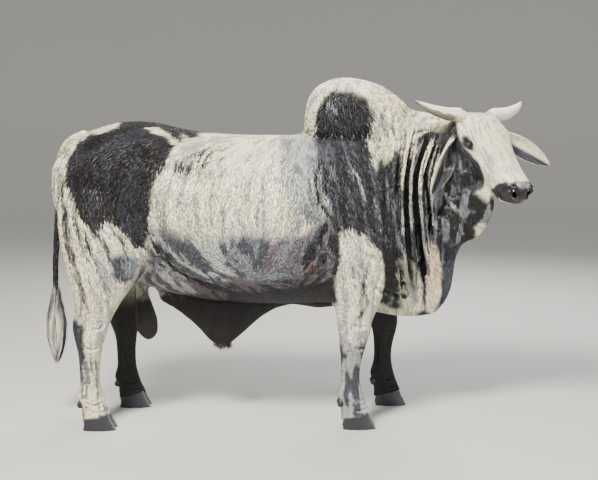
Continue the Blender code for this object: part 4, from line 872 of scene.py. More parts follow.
# Route, half width and paint of single strokes
STROKES = (
    ("rim behind the strip", ((-0.73, 1.446), (-0.69, 1.436), (-0.648, 1.42), (-0.6, 1.385), (-0.572, 1.35)),
     0.016, "cream"),
    # Painted shade down the rear edge of the thigh.
    ("thigh's rear", ((-1.132, 1.21), (-1.118, 1.05), (-1.098, 0.92), (-1.055, 0.754), (-1.004, 0.585)), 0.02,
     "blue"),
    ("thigh, first", ((-1.085, 1.06), (-1.059, 0.982), (-1.003, 0.824)), 0.01, "slate"),
    ("thigh, second", ((-1.03, 0.99), (-1.0, 0.9), (-0.95, 0.78)), 0.008, "charcoal"),
    ("thigh, third", ((-0.95, 0.98), (-0.92, 0.9), (-0.88, 0.81)), 0.012, "slate"),
    ("thigh, fourth", ((-0.896, 1.012), (-0.855, 0.92), (-0.81, 0.835)), 0.009, "slate"),
    ("thigh, fifth", ((-0.98, 0.86), (-0.945, 0.76), (-0.9, 0.66)), 0.006, "grey"),
    ("thigh, sixth", ((-1.01, 0.78), (-0.98, 0.68), (-0.955, 0.58)), 0.006, "grey"),
    ("thigh, white first", ((-1.01, 1.0), (-0.968, 0.9), (-0.91, 0.79)), 0.01, "white"),
    ("thigh, white second", ((-0.925, 1.02), (-0.88, 0.92), (-0.84, 0.85)), 0.009, "white"),
    # Painted shade in the flank fold, with a painted highlight on its upper lip.
    ("flank fold", ((-0.735, 0.985), (-0.7, 0.91), (-0.64, 0.835), (-0.543, 0.762), (-0.412, 0.69),
     (-0.26, 0.65)), 0.022, "charcoal"),
    ("flank fold, light", ((-0.7, 0.98), (-0.65, 0.9), (-0.56, 0.82), (-0.46, 0.76)), 0.012, "light"),
    ("shoulder's rear", ((0.078, 1.33), (0.066, 1.24), (0.078, 1.15), (0.12, 1.04)), 0.012, "charcoal"),
    ("behind the shoulder", ((0.033, 1.235), (0.034, 1.161), (0.056, 1.091)), 0.009, "slate"),
    ("blue on the shoulder", ((0.06, 1.4), (0.1, 1.33), (0.125, 1.27)), 0.022, "slate"),
    ("fleck", ((0.11, 1.33), (0.15, 1.23), (0.175, 1.13)), 0.01, "mauve"),
    ("fleck, second", ((0.24, 1.27), (0.275, 1.18), (0.3, 1.1)), 0.006, "light"),
    ("fleck, third", ((0.33, 1.14), (0.36, 1.04), (0.38, 0.95)), 0.005, "grey"),
    ("fleck, fourth", ((0.21, 1.16), (0.24, 1.08), (0.25, 1.02)), 0.006, "slate"),
    ("fleck on the hump", ((0.125, 1.56), (0.15, 1.545), (0.165, 1.52)), 0.014, "grey"),
    ("long neck stroke", ((0.436, 1.13), (0.45, 1.0), (0.483, 0.865), (0.52, 0.72), (0.575, 0.59)), 0.013,
     "light"),
    ("first ridge", ((0.478, 1.3), (0.49, 1.38), (0.53, 1.43), (0.575, 1.45)), 0.015, "cream"),
    ("second ridge", ((0.522, 1.31), (0.552, 1.39), (0.58, 1.42), (0.615, 1.437)), 0.013, "cream"),
    ("throat stroke", ((0.7, 1.14), (0.745, 1.08), (0.79, 1.0)), 0.01, "light"),
    ("throat stroke, second", ((0.73, 1.18), (0.775, 1.12), (0.8, 1.05)), 0.008, "slate"),
    ("hook on the foreleg", ((0.284, 0.74), (0.303, 0.68), (0.298, 0.6), (0.262, 0.53), (0.238, 0.505)),
     0.012, "brown"),
    ("foreleg, grey", ((0.2, 0.78), (0.205, 0.65), (0.215, 0.52)), 0.009, "light"),
)
FACE_MARKS = (
    # Painted shade over the side of the face and the jaw.
    ("side of the face", ((-0.02, -0.01), (0.04, -0.03), (0.09, -0.052), (0.126, -0.064), (0.185, -0.076),
     (0.237, -0.082), (0.286, -0.084), (0.312, -0.112), (0.336, -0.142), (0.352, -0.17), (0.34, -0.23),
     (0.22, -0.5), (-0.1, -0.5)), 0.009, "charcoal", "slate", "narrow", 0.3),
    ("round the eye", ((0.128, -0.046), (0.15, -0.026), (0.18, -0.024), (0.206, -0.042), (0.214, -0.062),
     (0.19, -0.076), (0.15, -0.074)), 0.008, "charcoal", "slate", "narrow", 0.3),
    # A painted highlight on the cheek.
    ("cheek light", ((0.19, -0.142), (0.232, -0.164), (0.256, -0.158), (0.246, -0.18), (0.206, -0.18)), 0.008,
     None, "grey", "narrow", 0.7),
    ("muzzle", ((0.466, 0.05), (0.468, -0.01), (0.46, -0.022), (0.437, -0.046), (0.416, -0.08),
     (0.408, -0.108), (0.384, -0.142), (0.42, -0.22), (0.6, -0.22), (0.6, 0.05)), 0.008, "black", "charcoal",
     "narrow", 0.25),
    ("chin", ((0.455, -0.134), (0.45, -0.2), (0.56, -0.2), (0.56, -0.122)), 0.006, "white", "light", "narrow",
     0.3),
)
# On the front view of the head, and the painted highlight on top of the nose along the face and to the side
LIP_LIGHT = ((0.055, -0.088), (0.084, -0.07), (0.09, -0.1), (0.066, -0.134), (0.0, -0.148), (-0.04, -0.146),
             (-0.04, -0.134), (0.0, -0.132), (0.046, -0.118))
NOSE_HIGHLIGHT = ((0.47, 0.04), (0.48, 0.044), (0.489, 0.028), (0.492, 0.0), (0.489, -0.026), (0.48, -0.036),
              (0.47, -0.034), (0.473, 0.0))


WAVER_SEEDS = (21, 23)


def coloured(points, face, face_normals, ears, cups, streaked, fold, damp):
    """The markings' colour at each point, painted shade and painted highlight included."""
    waver = np.stack([0.010 * grain(points, 0.055, seed) + 0.006 * grain(points, 0.020, seed + 1)
                      for seed in WAVER_SEEDS], 1)
    all_ears = ears[-1] + ears[1]
    share = streaked["narrow"]
    two = ease(share, 0.60, 0.76)[:, None]
    colour = paint("cream") * (1 - two) + paint("light") * two
    bright = ease(streaked["broad"], 0.62, 0.85)[:, None]
    colour = colour * (1 - bright) + paint("white") * bright
    side_view = points[:, [0, 2]] + waver

    def lay(mask, first, second, kind, part):
        """Lays two paints where the mask is, the second on its part of the streaks."""
        nonlocal colour
        two = ease(streaked[kind], 1 - part - 0.09, 1 - part + 0.09)[:, None]
        mask = mask[:, None]
        if first is None:
            colour = colour * (1 - mask * two) + paint(second) * (mask * two)
        else:
            mixed = paint(first) * (1 - two) + paint(second) * two
            colour = colour * (1 - mask) + mixed * mask

    def stroke(mask, name):
        """Lays one paint where the mask is, thinner on the pale streaks."""
        nonlocal colour
        mask = (mask * (0.55 + 0.45 * ease(streaked["narrow"], 0.1, 0.5)))[:, None]
        colour = colour * (1 - mask) + paint(name) * mask

    leg_zone = 1 - ease(points[:, 2], 0.52, 0.80)
    far_leg_painted_shade = (points[:, 1] > 0.03) * leg_zone
    for _, outline, soft, first, second, kind, part in BODY_MARKS + NECK_MARKS:
        lay(in_outline(side_view, outline, soft), first, second, kind, part)
    on_neck = in_outline(side_view, NECK_MARKS[0][1], 0.02)
    # Painted highlight on the raised lips of the folds, paler high on the neck, and painted shade in the creases
    # of neck and body.
    ridge = ease(fold, 0.16 - 0.08 * ease(points[:, 2], 1.15, 1.30), 0.40) * on_neck
    high_up = ease(points[:, 2] + waver[:, 0] * 3, 1.06, 1.26)
    lay(ridge * high_up, "light", "cream", "broad", 0.62)
    lay(ridge * (1 - high_up) * 0.85, "slate", "light", "broad", 0.42)
    lay(ease(-fold, 0.22, 0.60) * on_neck, "black", "charcoal", "narrow", 0.25)
    lay(ease(-fold, 0.35, 0.80) * (1 - on_neck) * 0.55, "slate", "grey", "narrow", 0.4)
    for _, outline, soft, first, second, kind, part in LEG_MARKS:
        lay(in_outline(side_view, outline, soft) * (points[:, 1] < 0.0), first, second, kind, part)
    flank = np.maximum(ease(np.abs(points[:, 1]), 0.05, 0.10), points[:, 0] > -0.80)
    for _, route, width, shade in STROKES:
        stroke(on_route(side_view, route, width) * flank, shade)
    # Painted shade: the underside between the legs, sheath included, is laid black.
    middle = (np.abs(points[:, 1]) < 0.115) * (points[:, 0] < 0.16) * (points[:, 0] > -0.90)
    lay(middle * (1 - ease(points[:, 2], 0.60, 0.645)), "black", "charcoal", "narrow", 0.22)
    # Painted shade: the far legs are laid black all round.
    lay(far_leg_painted_shade * ease(np.abs(points[:, 1]), 0.03, 0.08), "black", "charcoal", "narrow", 0.28)
    # The tail is laid dark low down and left cream at its top, where a painted highlight runs.
    tail = (1 - ease(np.abs(points[:, 1]), 0.024, 0.034)) * (side_view[:, 0] < -1.155)
    lay(tail * (1 - ease(points[:, 2], 1.02, 1.14)), "charcoal", "slate", "narrow", 0.3)

    head = head_share_of(face) * (1 - all_ears)
    side_face = face[:, [0, 2]] + waver * 0.4
    on_body = colour.copy()
    whole = np.ones(len(points))
    lay(whole, "cream", "light", "narrow", 0.34)
    lay(ease(streaked["broad"], 0.70, 0.85), None, "white", "narrow", 0.7)
    for _, outline, soft, first, second, kind, part in FACE_MARKS:
        lay(in_outline(side_face, outline, soft), first, second, kind, part)
    # The side of the face is painted dark as shade; on it the fold ridges get a painted highlight, and the
    # creases of the head a painted shade.
    shaded_face_side = in_outline(side_face, FACE_MARKS[0][1], 0.01)
    lay(shaded_face_side * ease(fold, 0.10, 0.35) * 0.8, "slate", "grey", "narrow", 0.4)
    lay(ease(-fold, 0.30, 0.80) * 0.7, "charcoal", "slate", "narrow", 0.4)
    # A painted highlight on top of the nose.
    nose_highlight = in_outline(face[:, :2] + waver * 0.4, NOSE_HIGHLIGHT, 0.006) * ease(face_normals[:, 2], 0.2, 0.6)
    lay(nose_highlight * 0.75, "grey", "light", "narrow", 0.45)
    on_lip = in_outline(face[:, 1:] + waver * 0.3, LIP_LIGHT, 0.004) * ease(face_normals[:, 0], 0.0, 0.3)
    lay(on_lip * (face[:, 0] > 0.42), "white", "light", "narrow", 0.4)
    colour = on_body * (1 - head[:, None]) + colour * head[:, None]

    lay(ease(damp, 0.35, 0.75), "black", "charcoal", "narrow", 0.15)
    for side in SIDES:
        inner, rim, upper = cups[side]
        lay(ears[side], "cream", "white", "narrow", 0.30)
        lay(ears[side] * inner * (1 - upper), "slate", "blue", "narrow", 0.35)
        lay(ears[side] * inner * (1 - upper) * rim, "charcoal", "slate", "narrow", 0.3)
        lay(ears[side] * inner * upper * 0.5, None, "grey", "narrow", 0.35)
    return colour


streaked = streaks_of(points, lie, on_head_share)
colour = coloured(points, face, face_normals, ears, cups, streaked, fold, damp)


def store_colour(mesh, colour):
    """Keeps a colour at each of the mesh's points, where its material reads it."""
    layer = mesh.color_attributes.new("hide_colour", "FLOAT_COLOR", "POINT")
    solid = np.concatenate([colour, np.ones((len(colour), 1))], 1)
    layer.data.foreach_set("color", solid.astype(np.float32).ravel())


def tinted_finish(name, roughness):
    """A material that takes its colour from the mesh, and its shader."""
    made = bpy.data.materials.new(name)
    made.use_nodes = True
    shader = made.node_tree.nodes["Principled BSDF"]
    shader.inputs["Roughness"].default_value = roughness
    reader = made.node_tree.nodes.new("ShaderNodeAttribute")
    reader.attribute_name = "hide_colour"
    made.node_tree.links.new(reader.outputs["Color"], shader.inputs["Base Color"])
    return made, shader


store_colour(skin.data, colour)
hide, shader = tinted_finish("hide", 0.55)


def node(material, kind, **values):
    """A node of a material, its sockets set or linked by name."""
    made = material.node_tree.nodes.new(kind)
    for name, value in values.items():
        socket = made.inputs[int(name[1:])] if name[0] == "_" else made.inputs[name.replace("_", " ")]
        if hasattr(value, "links"):
            material.node_tree.links.new(value, socket)
        else:
            socket.default_value = value
    return made


# Bare skin is wet and cobbled. Elsewhere a fine grain of short hair lies under the tufts.
BARE_ROUGHNESS = 0.24
HAIR_ROUGHNESS = 0.58
bare_reader = node(hide, "ShaderNodeAttribute")
bare_reader.attribute_name = "bare"
bare = bare_reader.outputs["Fac"]
spots = node(hide, "ShaderNodeTexCoord").outputs["Object"]
cobbles = node(hide, "ShaderNodeTexVoronoi", Vector=spots, Scale=240.0)
cobbles.feature = "SMOOTH_F1"
long_hair = node(hide, "ShaderNodeVectorMath", _0=spots, _1=(1.0, 1.0, 0.22))
long_hair.operation = "MULTIPLY"
short_hair = node(hide, "ShaderNodeTexNoise", Vector=long_hair.outputs[0], Scale=620.0, Detail=2.0)
height_mix = node(hide, "ShaderNodeMix", _0=bare, _2=short_hair.outputs["Fac"], _3=cobbles.outputs["Distance"])
relief = node(hide, "ShaderNodeBump", Strength=0.45, Distance=0.0012, Height=height_mix.outputs[0])
hide.node_tree.links.new(relief.outputs["Normal"], shader.inputs["Normal"])
wet = node(hide, "ShaderNodeMapRange", Value=bare)
wet.inputs["To Min"].default_value = HAIR_ROUGHNESS
wet.inputs["To Max"].default_value = BARE_ROUGHNESS
hide.node_tree.links.new(wet.outputs["Result"], shader.inputs["Roughness"])
layer = skin.data.attributes.new("bare", "FLOAT", "POINT")
bald = np.maximum(damp, ease(face[:, 0], 0.440, 0.476) * on_head_share * (face[:, 2] > -0.145))
layer.data.foreach_set("value", bald.astype(np.float32))
skin.data.materials.append(hide)
skin.data.shade_smooth()
skin_tree = BVHTree.FromObject(skin, bpy.context.evaluated_depsgraph_get())


# Coat. Short stiff cattle hair, which lies flat in small tufts. Each tuft is a thin closed spindle whose root is
# sunk in the skin and whose tip lies over the next. It follows the lie and carries the colour of its root.
# The tufts are joined meshes, one or two per region.
HAIR_LENGTHS = {"body": 0.029, "leg": 0.019, "foot": 0.012, "head": 0.0125, "muzzle": 0.006, "ear": 0.012}
TUFT_WIDTH = 0.155
TUFT_HEIGHT = 0.062
TUFT_COUNT = 318000
TUFT_MID = 0.40
TUFT_SUNK = 0.0012
TUFT_TURN = 0.16
TUFT_SHADES = (0.86, 0.98, 0.98, 1.12)
PALEST = 0.92
MOST_IN_PIECE = 49000


def hair_length(points, face, on_head_share, all_ears):
    """The coat's length at each point, from its lengths on body, legs, feet, head, muzzle and ears."""
    long = HAIR_LENGTHS
    length = long["leg"] + (long["body"] - long["leg"]) * ease(points[:, 2], 0.50, 0.85)
    length = long["foot"] + (length - long["foot"]) * ease(points[:, 2], 0.08, 0.35)
    to_head = ease(points[:, 0], 0.55, 0.75) * 0.35
    length = length * (1 - to_head)
    on_face = long["muzzle"] + (long["head"] - long["muzzle"]) * ease(-face[:, 0], -0.44, -0.30)
    length += (on_face - length) * on_head_share
    return length + (long["ear"] - length) * all_ears


def triangles(mesh, kind):
    """The points or the loops of each of the mesh's triangles."""
    mesh.calc_loop_triangles()
    flat = np.empty(len(mesh.loop_triangles) * 3, np.int32)
    mesh.loop_triangles.foreach_get(kind, flat)
    return flat.reshape(-1, 3)


corners = triangles(skin.data, "vertices")
length = hair_length(points, face, on_head_share, ears[-1] + ears[1])
area = np.linalg.norm(np.cross(points[corners[:, 1]] - points[corners[:, 0]],
                               points[corners[:, 2]] - points[corners[:, 0]]), axis=1) / 2
hairy = 1 - np.maximum(damp, ease(face[:, 0], 0.425, 0.470) * on_head_share)
hairy *= ease(points[:, 2], 0.030, 0.060)
wanted = area * hairy[corners].mean(1) / length[corners].mean(1) ** 2
chance = np.random.default_rng(17)
reach = np.cumsum(wanted)
even = (np.arange(TUFT_COUNT) + chance.uniform(0, 1, TUFT_COUNT)) / TUFT_COUNT
picks = np.minimum(np.searchsorted(reach, even * reach[-1]), len(corners) - 1)
first, second = chance.uniform(0, 1, (2, TUFT_COUNT))
folded = first + second > 1
first[folded], second[folded] = 1 - first[folded], 1 - second[folded]
shares = np.stack([1 - first - second, first, second], 1)


def at_roots(values):
    """Values of the skin's points read at the roots of the tufts."""
    held = values[corners[picks]]
    return (held * (shares[:, :, None] if values.ndim == 2 else shares)).sum(1)


def unit(vectors):
    """The vectors at length 1."""
    return vectors / np.maximum(np.linalg.norm(vectors, axis=1), 1e-9)[:, None]


roots, up = at_roots(points), unit(at_roots(normals))
root_face = in_head(roots)
root_lie = at_roots(lie)
root_lie = unit(root_lie - up * (root_lie * up).sum(1)[:, None])
root_ears, root_cups = ear_shares(roots)
root_head = at_roots(on_head_share)
root_streaks = streaks_of(roots, root_lie, root_head)
root_colour = coloured(roots, root_face, up @ np.array(HEAD_TURN), root_ears, root_cups, root_streaks,
                       at_roots(fold), at_roots(damp))
tuft_length = at_roots(length) * chance.uniform(0.75, 1.3, TUFT_COUNT)
turn = chance.normal(0, TUFT_TURN, TUFT_COUNT)[:, None]
across = np.cross(up, root_lie)
way = unit(root_lie * np.cos(turn) + across * np.sin(turn))
across = np.cross(up, way)


def on_skin(places):
    """The nearest places on the skin, and the directions out of it."""
    found, out = np.empty_like(places), np.empty_like(places)
    for k, place in enumerate(places.tolist()):
        spot, normal, _, _ = skin_tree.find_nearest(place)
        found[k], out[k] = spot, normal
    return found, out


middle, middle_up = on_skin(roots + way * (tuft_length * TUFT_MID)[:, None])
tip, tip_up = on_skin(roots + way * tuft_length[:, None])
half = tuft_length * TUFT_WIDTH / 2 * chance.uniform(0.8, 1.3, TUFT_COUNT)
height = tuft_length * TUFT_HEIGHT
lift = tuft_length * chance.uniform(0.02, 0.10, TUFT_COUNT)
tilt = chance.uniform(0.1, 0.9, TUFT_COUNT)
tufts = np.stack([roots - up * TUFT_SUNK,
                  middle + across * half[:, None] + middle_up * (0.0004 + height * tilt)[:, None],
                  middle - across * half[:, None] + middle_up * (0.0004 + height * (1 - tilt))[:, None],
                  tip + tip_up * (0.0002 + lift)[:, None]], 1)
shade = 1 + 0.10 * chance.normal(0, 1, TUFT_COUNT)
tuft_colours = np.clip(root_colour * np.clip(shade, 0.75, 1.25)[:, None], 0, PALEST)

# Each tuft's patch of the bake map lies at its root's place on an unwrap of a coarse copy of the skin.
COARSE_FACES = 14000
BAKE_PATCH = 0.0014
coarse = skin.copy()
coarse.data = skin.data.copy()
bpy.context.scene.collection.objects.link(coarse)
fewer = coarse.modifiers.new("fewer", "DECIMATE")
fewer.ratio = COARSE_FACES / len(corners)
fewer.use_collapse_triangulate = True
applied(coarse)
bpy.context.view_layer.objects.active = coarse
coarse.select_set(True)
bpy.ops.object.mode_set(mode="EDIT")
bpy.ops.mesh.select_all(action="SELECT")
bpy.ops.uv.smart_project(angle_limit=math.radians(66), island_margin=0.004)
bpy.ops.object.mode_set(mode="OBJECT")
unwrap = np.empty(len(coarse.data.loops) * 2, np.float32)
coarse.data.uv_layers.active.data.foreach_get("uv", unwrap)
unwrap = unwrap.reshape(-1, 2)
coarse_points = read_points(coarse.data)
coarse_loops, coarse_corners = triangles(coarse.data, "loops"), triangles(coarse.data, "vertices")
coarse_tree = BVHTree.FromPolygons(coarse_points.tolist(), coarse_corners.tolist(), all_triangles=True)


def bake_places(places):
    """Each place's spot on the unwrap of the coarse skin."""
    found = [coarse_tree.find_nearest(place) for place in places.tolist()]
    spots = np.array([hit[0] for hit in found])
    faces = np.array([hit[2] for hit in found])
    a, b, c = (coarse_points[coarse_corners[faces, k]] for k in range(3))
    whole = np.cross(b - a, c - a)
    size = np.maximum((whole * whole).sum(1), 1e-18)
    toward_b = (np.cross(spots - a, c - a) * whole).sum(1) / size
    toward_c = (np.cross(b - a, spots - a) * whole).sum(1) / size
    parts = np.stack([1 - toward_b - toward_c, toward_b, toward_c], 1)
    return (unwrap[coarse_loops[faces]] * np.clip(parts, 0, 1)[:, :, None]).sum(1)


tuft_bake = bake_places(roots)
bpy.data.objects.remove(coarse)

# The points of a tuft: root, two at its middle, tip
TUFT_FACES = np.array(((0, 2, 1), (3, 1, 2), (0, 1, 3), (0, 3, 2)))
TUFT_PATCH = np.array(((-1.0, 0.0), (0.1, 0.9), (0.0, -0.9), (1.0, 0.0))) * BAKE_PATCH


def dressed(piece, material):
    """Gives a piece its material and smooth shading, and sets it on the body."""
    piece.data.materials.append(material)
    piece.data.shade_smooth()
    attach(piece, "root")
    return piece


def strands(name, places, faces, colours, bake):
    """One joined mesh of like strands: places is strands by points, faces is one strand's triangles."""
    count, size = places.shape[:2]
    mesh = bpy.data.meshes.new(name)
    mesh.vertices.add(count * size)
    mesh.vertices.foreach_set("co", (places - np.array(OWN_FRAME)).astype(np.float32).ravel())
    index = (np.arange(count)[:, None, None] * size + faces[None]).astype(np.int32)
    mesh.loops.add(index.size)
    mesh.loops.foreach_set("vertex_index", index.ravel())
    mesh.polygons.add(index.size // 3)
    mesh.polygons.foreach_set("loop_start", np.arange(0, index.size, 3, dtype=np.int32))
    mesh.update(calc_edges=True)
    store_colour(mesh, colours.reshape(-1, 3))
    layer = mesh.uv_layers.new(name="OFBake")
    layer.data.foreach_set("uv", bake[:, faces].reshape(-1).astype(np.float32))
    piece = bpy.data.objects.new(name, mesh)
    bpy.context.scene.collection.objects.link(piece)
    return dressed(piece, hide)


# Name, the lengthwise limits, and the slot
REGIONS = (("rump", -9, -0.86, "hide_black"), ("haunch", -0.86, -0.60, "hide_grey"),
           ("flank", -0.60, -0.25, "hide_cream"), ("barrel", -0.25, 0.06, "hide_cream"),
           ("shoulder", 0.06, 0.33, "hide_charcoal"), ("neck", 0.33, 0.60, "hide_charcoal"),
           ("dewlap", 0.60, 9, "hide_charcoal"))
LEGS_BELOW = 0.58
MIDDLE_OF_LEGS = -0.3
on_head_now = root_head + root_ears[-1] + root_ears[1] > 0.5
on_leg = (roots[:, 2] < LEGS_BELOW) & ~on_head_now
chosen = {"head": (on_head_now & (root_face[:, 1] > 0), "hide_cream"),
          "head_right": (on_head_now & (root_face[:, 1] <= 0), "hide_cream"),
          "fore_legs": (on_leg & (roots[:, 0] > MIDDLE_OF_LEGS), "hide_grey"),
          "hind_legs": (on_leg & (roots[:, 0] <= MIDDLE_OF_LEGS), "hide_grey")}
for region, low, high, slot in REGIONS:
    chosen[region] = (~on_head_now & ~on_leg & (roots[:, 0] > low) & (roots[:, 0] <= high), slot)
for region, (mine, slot) in chosen.items():
    mine = np.flatnonzero(mine)
    for part, some in enumerate(np.array_split(mine, 1 + len(mine) // MOST_IN_PIECE)):
        tints = np.repeat(tuft_colours[some][:, None], 4, 1) * np.array(TUFT_SHADES)[:, None]
        strands(f"coat_{region}_{part + 1}", tufts[some], TUFT_FACES, tints,
                tuft_bake[some][:, None] + TUFT_PATCH)


# Longer hair. Coarser hair stands at the lashes, the poll, the foot of the horns, the rims of the ears, the
# sheath and the hair line of the hooves. Each strand tapers, has a slightly flat three-sided section, and is
# set in the skin by its root.
STRAND_FLATNESS = 0.55


def hair(name, routes, wide, flat, colours):
    """Strands along routes, which are strands by rings by 3, with half widths by ring. The last is the tip."""
    count, rings = routes.shape[:2]
    run = np.gradient(routes, axis=1)
    run /= np.maximum(np.linalg.norm(run, axis=2), 1e-9)[:, :, None]
    side = np.cross(run, flat[:, None])
    side /= np.maximum(np.linalg.norm(side, axis=2), 1e-9)[:, :, None]
    top = np.cross(side, run)
    width = wide[:, :, None]
    places = np.stack([routes + side * width, routes - side * width, routes + top * width * STRAND_FLATNESS], 2)
    places = np.concatenate([places[:, :-1].reshape(count, -1, 3), routes[:, -1:]], 1)
    faces = [(0, 1, 2)]
    for ring in range(rings - 2):
        for k in range(3):
            here, beside = 3 * ring + k, 3 * ring + (k + 1) % 3
            faces += [(here, here + 3, beside + 3), (here, beside + 3, beside)]
    last = 3 * (rings - 2)
    faces += [(last + k, 3 * (rings - 1), last + (k + 1) % 3) for k in range(3)]
    ring_of = np.append(np.repeat(np.arange(rings - 1), 3), rings - 1)
    bake = bake_places(routes[:, 0])[:, None] + np.stack([ring_of / rings * 0.0026 - 0.0013,
                                                          0.0005 * (np.arange(len(ring_of)) % 3)], 1)
    tints = colours[:, ring_of] if colours.ndim == 3 else np.repeat(colours[:, None], len(ring_of), 1)
    return strands(name, places, np.array(faces), np.clip(tints, 0, PALEST), bake)


def curve_out(starts, ways, lengths, bends, rings):
    """Routes that leave their starts one way and bend over by another."""
    share = np.linspace(0, 1, rings)[None, :, None]
    return starts[:, None] + lengths[:, None, None] * (ways[:, None] * share + bends[:, None] * share**2)


def tapered(count, rings, half):
    """Half widths by ring for a number of strands, thickest near the root."""
    share = np.linspace(0, 1, rings)
    profile = half * np.clip((0.55 + 1.2 * share) * (1 - share) ** 0.7, 0, 1)
    return profile[None] * chance.uniform(0.75, 1.3, (count, 1))


def near_skin(centre, reach, count, keep=None):
    """Random points of the skin about a place, as their indices."""
    close = ((points - np.array(centre)) ** 2).sum(1) < reach**2
    if keep is not None:
        close &= keep
    return chance.choice(np.flatnonzero(close), count)


def grow(name, picked, ways, lengths, bends, rings, half, colours, slot, tone=None, sunk=0.0):
    """Hair that grows from picked points of the skin, its colours varied by tone and its roots sunk a little."""
    routes = curve_out(points[picked] - normals[picked] * sunk, ways, lengths, bends, rings)
    wide = tapered(len(picked), rings, half)
    if tone:
        colours = colours * chance.uniform(*tone, (len(picked), 1))
    hair(name, routes, wide, normals[picked], colours)


chance = np.random.default_rng(29)
TONE = (0.85, 1.1)
ROOT_SUNK = 0.001
LASHES = 40
for side, name in SIDES.items():
    centre, look, above, beside = eye_axes[side]
    across_eye = np.linspace(-0.86, 0.90, LASHES) + chance.normal(0, 0.01, LASHES)
    wide = LID_HALF * across_eye
    high = LID_UP * (1 - np.abs(across_eye) ** LID_CURVE) ** (1 / LID_CURVE)
    out = np.sqrt(np.maximum((EYE_RADIUS + 0.0012) ** 2 - wide**2 - high**2, 0))
    starts = centre + out[:, None] * look + high[:, None] * above + wide[:, None] * beside
    ways = unit(look + above * 0.35 + beside * (0.60 * across_eye[:, None]))
    bends = np.repeat((-above * 0.30 + look * 0.1)[None], LASHES, 0)
    routes = curve_out(starts, ways, 0.0125 * chance.uniform(0.8, 1.1, LASHES), bends, 6)
    hair(f"lashes_{name}", routes, tapered(LASHES, 6, 0.00045), np.repeat(above[None], LASHES, 0),
         np.repeat(paint("charcoal")[None], LASHES, 0))

POLL_HAIRS = 900
crown = near_skin(on_head(0.012, 0, 0.0), 0.095, POLL_HAIRS, on_head_share > 0.02)
ways = unit(lie[crown] + normals[crown] * 0.30 + chance.normal(0, 0.16, (POLL_HAIRS, 3)))
grow("poll_hair", crown, ways, chance.uniform(0.018, 0.032, POLL_HAIRS), -normals[crown] * 0.22, 5, 0.0013,
     colour[crown], "hide_cream", TONE, ROOT_SUNK)

HORN_HAIRS = 520
for side, name in SIDES.items():
    collar = near_skin(on_head(0.018, side * 0.136, -0.014), 0.048, HORN_HAIRS)
    outward = np.array(on_head(0, side, 0) - on_head(0, 0, 0))
    ways = unit(np.repeat(outward[None], HORN_HAIRS, 0) * 0.9 + normals[collar] * 0.25
                + chance.normal(0, 0.15, (HORN_HAIRS, 3)))
    grow(f"horn_hair_{name}", collar, ways, chance.uniform(0.012, 0.020, HORN_HAIRS), -normals[collar] * 0.15, 4,
         0.0011, colour[collar], "hide_cream", TONE, ROOT_SUNK)

EAR_HAIRS = 760
for side, name in SIDES.items():
    root, length_way, wide_way, open_way = (np.array(axis) for axis in ear_place(side))
    rimmed = np.flatnonzero((ears[side] > 0.8) & (cups[side][1] > 0.25))
    picked = chance.choice(rimmed, EAR_HAIRS)
    reach_in = (points[picked] - root) @ length_way / EAR_LENGTH
    inward = -np.sign((points[picked] - root) @ wide_way)[:, None] * wide_way
    ways = unit(length_way * 0.90 + open_way * 0.12 + inward * 0.22 + chance.normal(0, 0.10, (EAR_HAIRS, 3)))
    lengths = chance.uniform(0.010, 0.019, EAR_HAIRS) * (1.1 - 0.5 * np.clip(reach_in, 0, 1))
    shade = colour[picked] * 0.6 + 0.4 * paint("light") * chance.uniform(0.6, 1.05, (EAR_HAIRS, 1))
    grow(f"ear_hair_{name}", picked, ways, lengths, inward * 0.15, 5, 0.00055, shade, "hide_grey", sunk=0.0008)

HEM_HAIRS = 2600
CORONET = 0.068
CORONET_SLOPE = 0.26
# How far ahead each foot stands
FOOT_PLACES = {("fore", -1): 0.262, ("fore", 1): 0.462, ("hind", -1): -0.990, ("hind", 1): -0.870}
hem = []
for place in FOOT_PLACES.values():
    line = CORONET + CORONET_SLOPE * (points[:, 0] - place)
    hem.append(np.flatnonzero((np.abs(points[:, 0] - place) < 0.11) & (np.abs(normals[:, 2]) < 0.8)
                              & (np.abs(points[:, 2] - line - 0.006) < 0.008)))
hem = np.concatenate([chance.choice(ring, HEM_HAIRS // 4) for ring in hem])
ways = unit(np.array((0.10, 0, -1.0)) + normals[hem] * 0.30 + chance.normal(0, 0.12, (len(hem), 3)))
grow("hoof_hair", hem, ways, chance.uniform(0.011, 0.019, len(hem)), -normals[hem] * 0.12, 4, 0.0010, colour[hem],
     "hide_grey", TONE)

SHEATH_HAIRS = 150
SHEATH_END = 0.016
about_sheath = (np.abs(points[:, 1]) < 0.05) & (np.abs(points[:, 0] + 0.4) < 0.2)
lowest = np.flatnonzero(about_sheath & (points[:, 2] < points[about_sheath, 2].min() + SHEATH_END))
picked = chance.choice(lowest, SHEATH_HAIRS)
ways = unit(np.array((0.25, 0, -1.0)) + chance.normal(0, 0.18, (SHEATH_HAIRS, 3)))
grow("sheath_hair", picked, ways, chance.uniform(0.018, 0.040, SHEATH_HAIRS),
     chance.normal(0, 0.12, (SHEATH_HAIRS, 3)), 5, 0.0016, paint("black"), "hide_black", (0.8, 1.6))


# Tail's switch. Long wavy hair in locks, dark at the root and pale below. The locks leave the tail's last hand's
# breadth, swell out and close to a ragged point. They stand for the solid that fills the switch.
# Height and radius of the whole, from its foot up
SWITCH = ((0.262, 0.01), (0.33, 0.036), (0.4, 0.052), (0.48, 0.049), (0.57, 0.031), (0.649, 0.018))
SWITCH_X = -1.215
SWITCH_LOCKS = 46
HAIRS_IN_LOCK = 28
SWITCH_FOOT = 0.262
SWITCH_RINGS = 10
SWITCH_HAIRS = SWITCH_LOCKS * HAIRS_IN_LOCK
heights, radii = zip(*SWITCH)
share = np.linspace(0, 1, SWITCH_RINGS)[None]
lock = np.repeat(np.arange(SWITCH_LOCKS), HAIRS_IN_LOCK)


def by_lock(low, high):
    """One random value for each lock, given to all its hairs."""
    return chance.uniform(low, high, SWITCH_LOCKS)[lock]


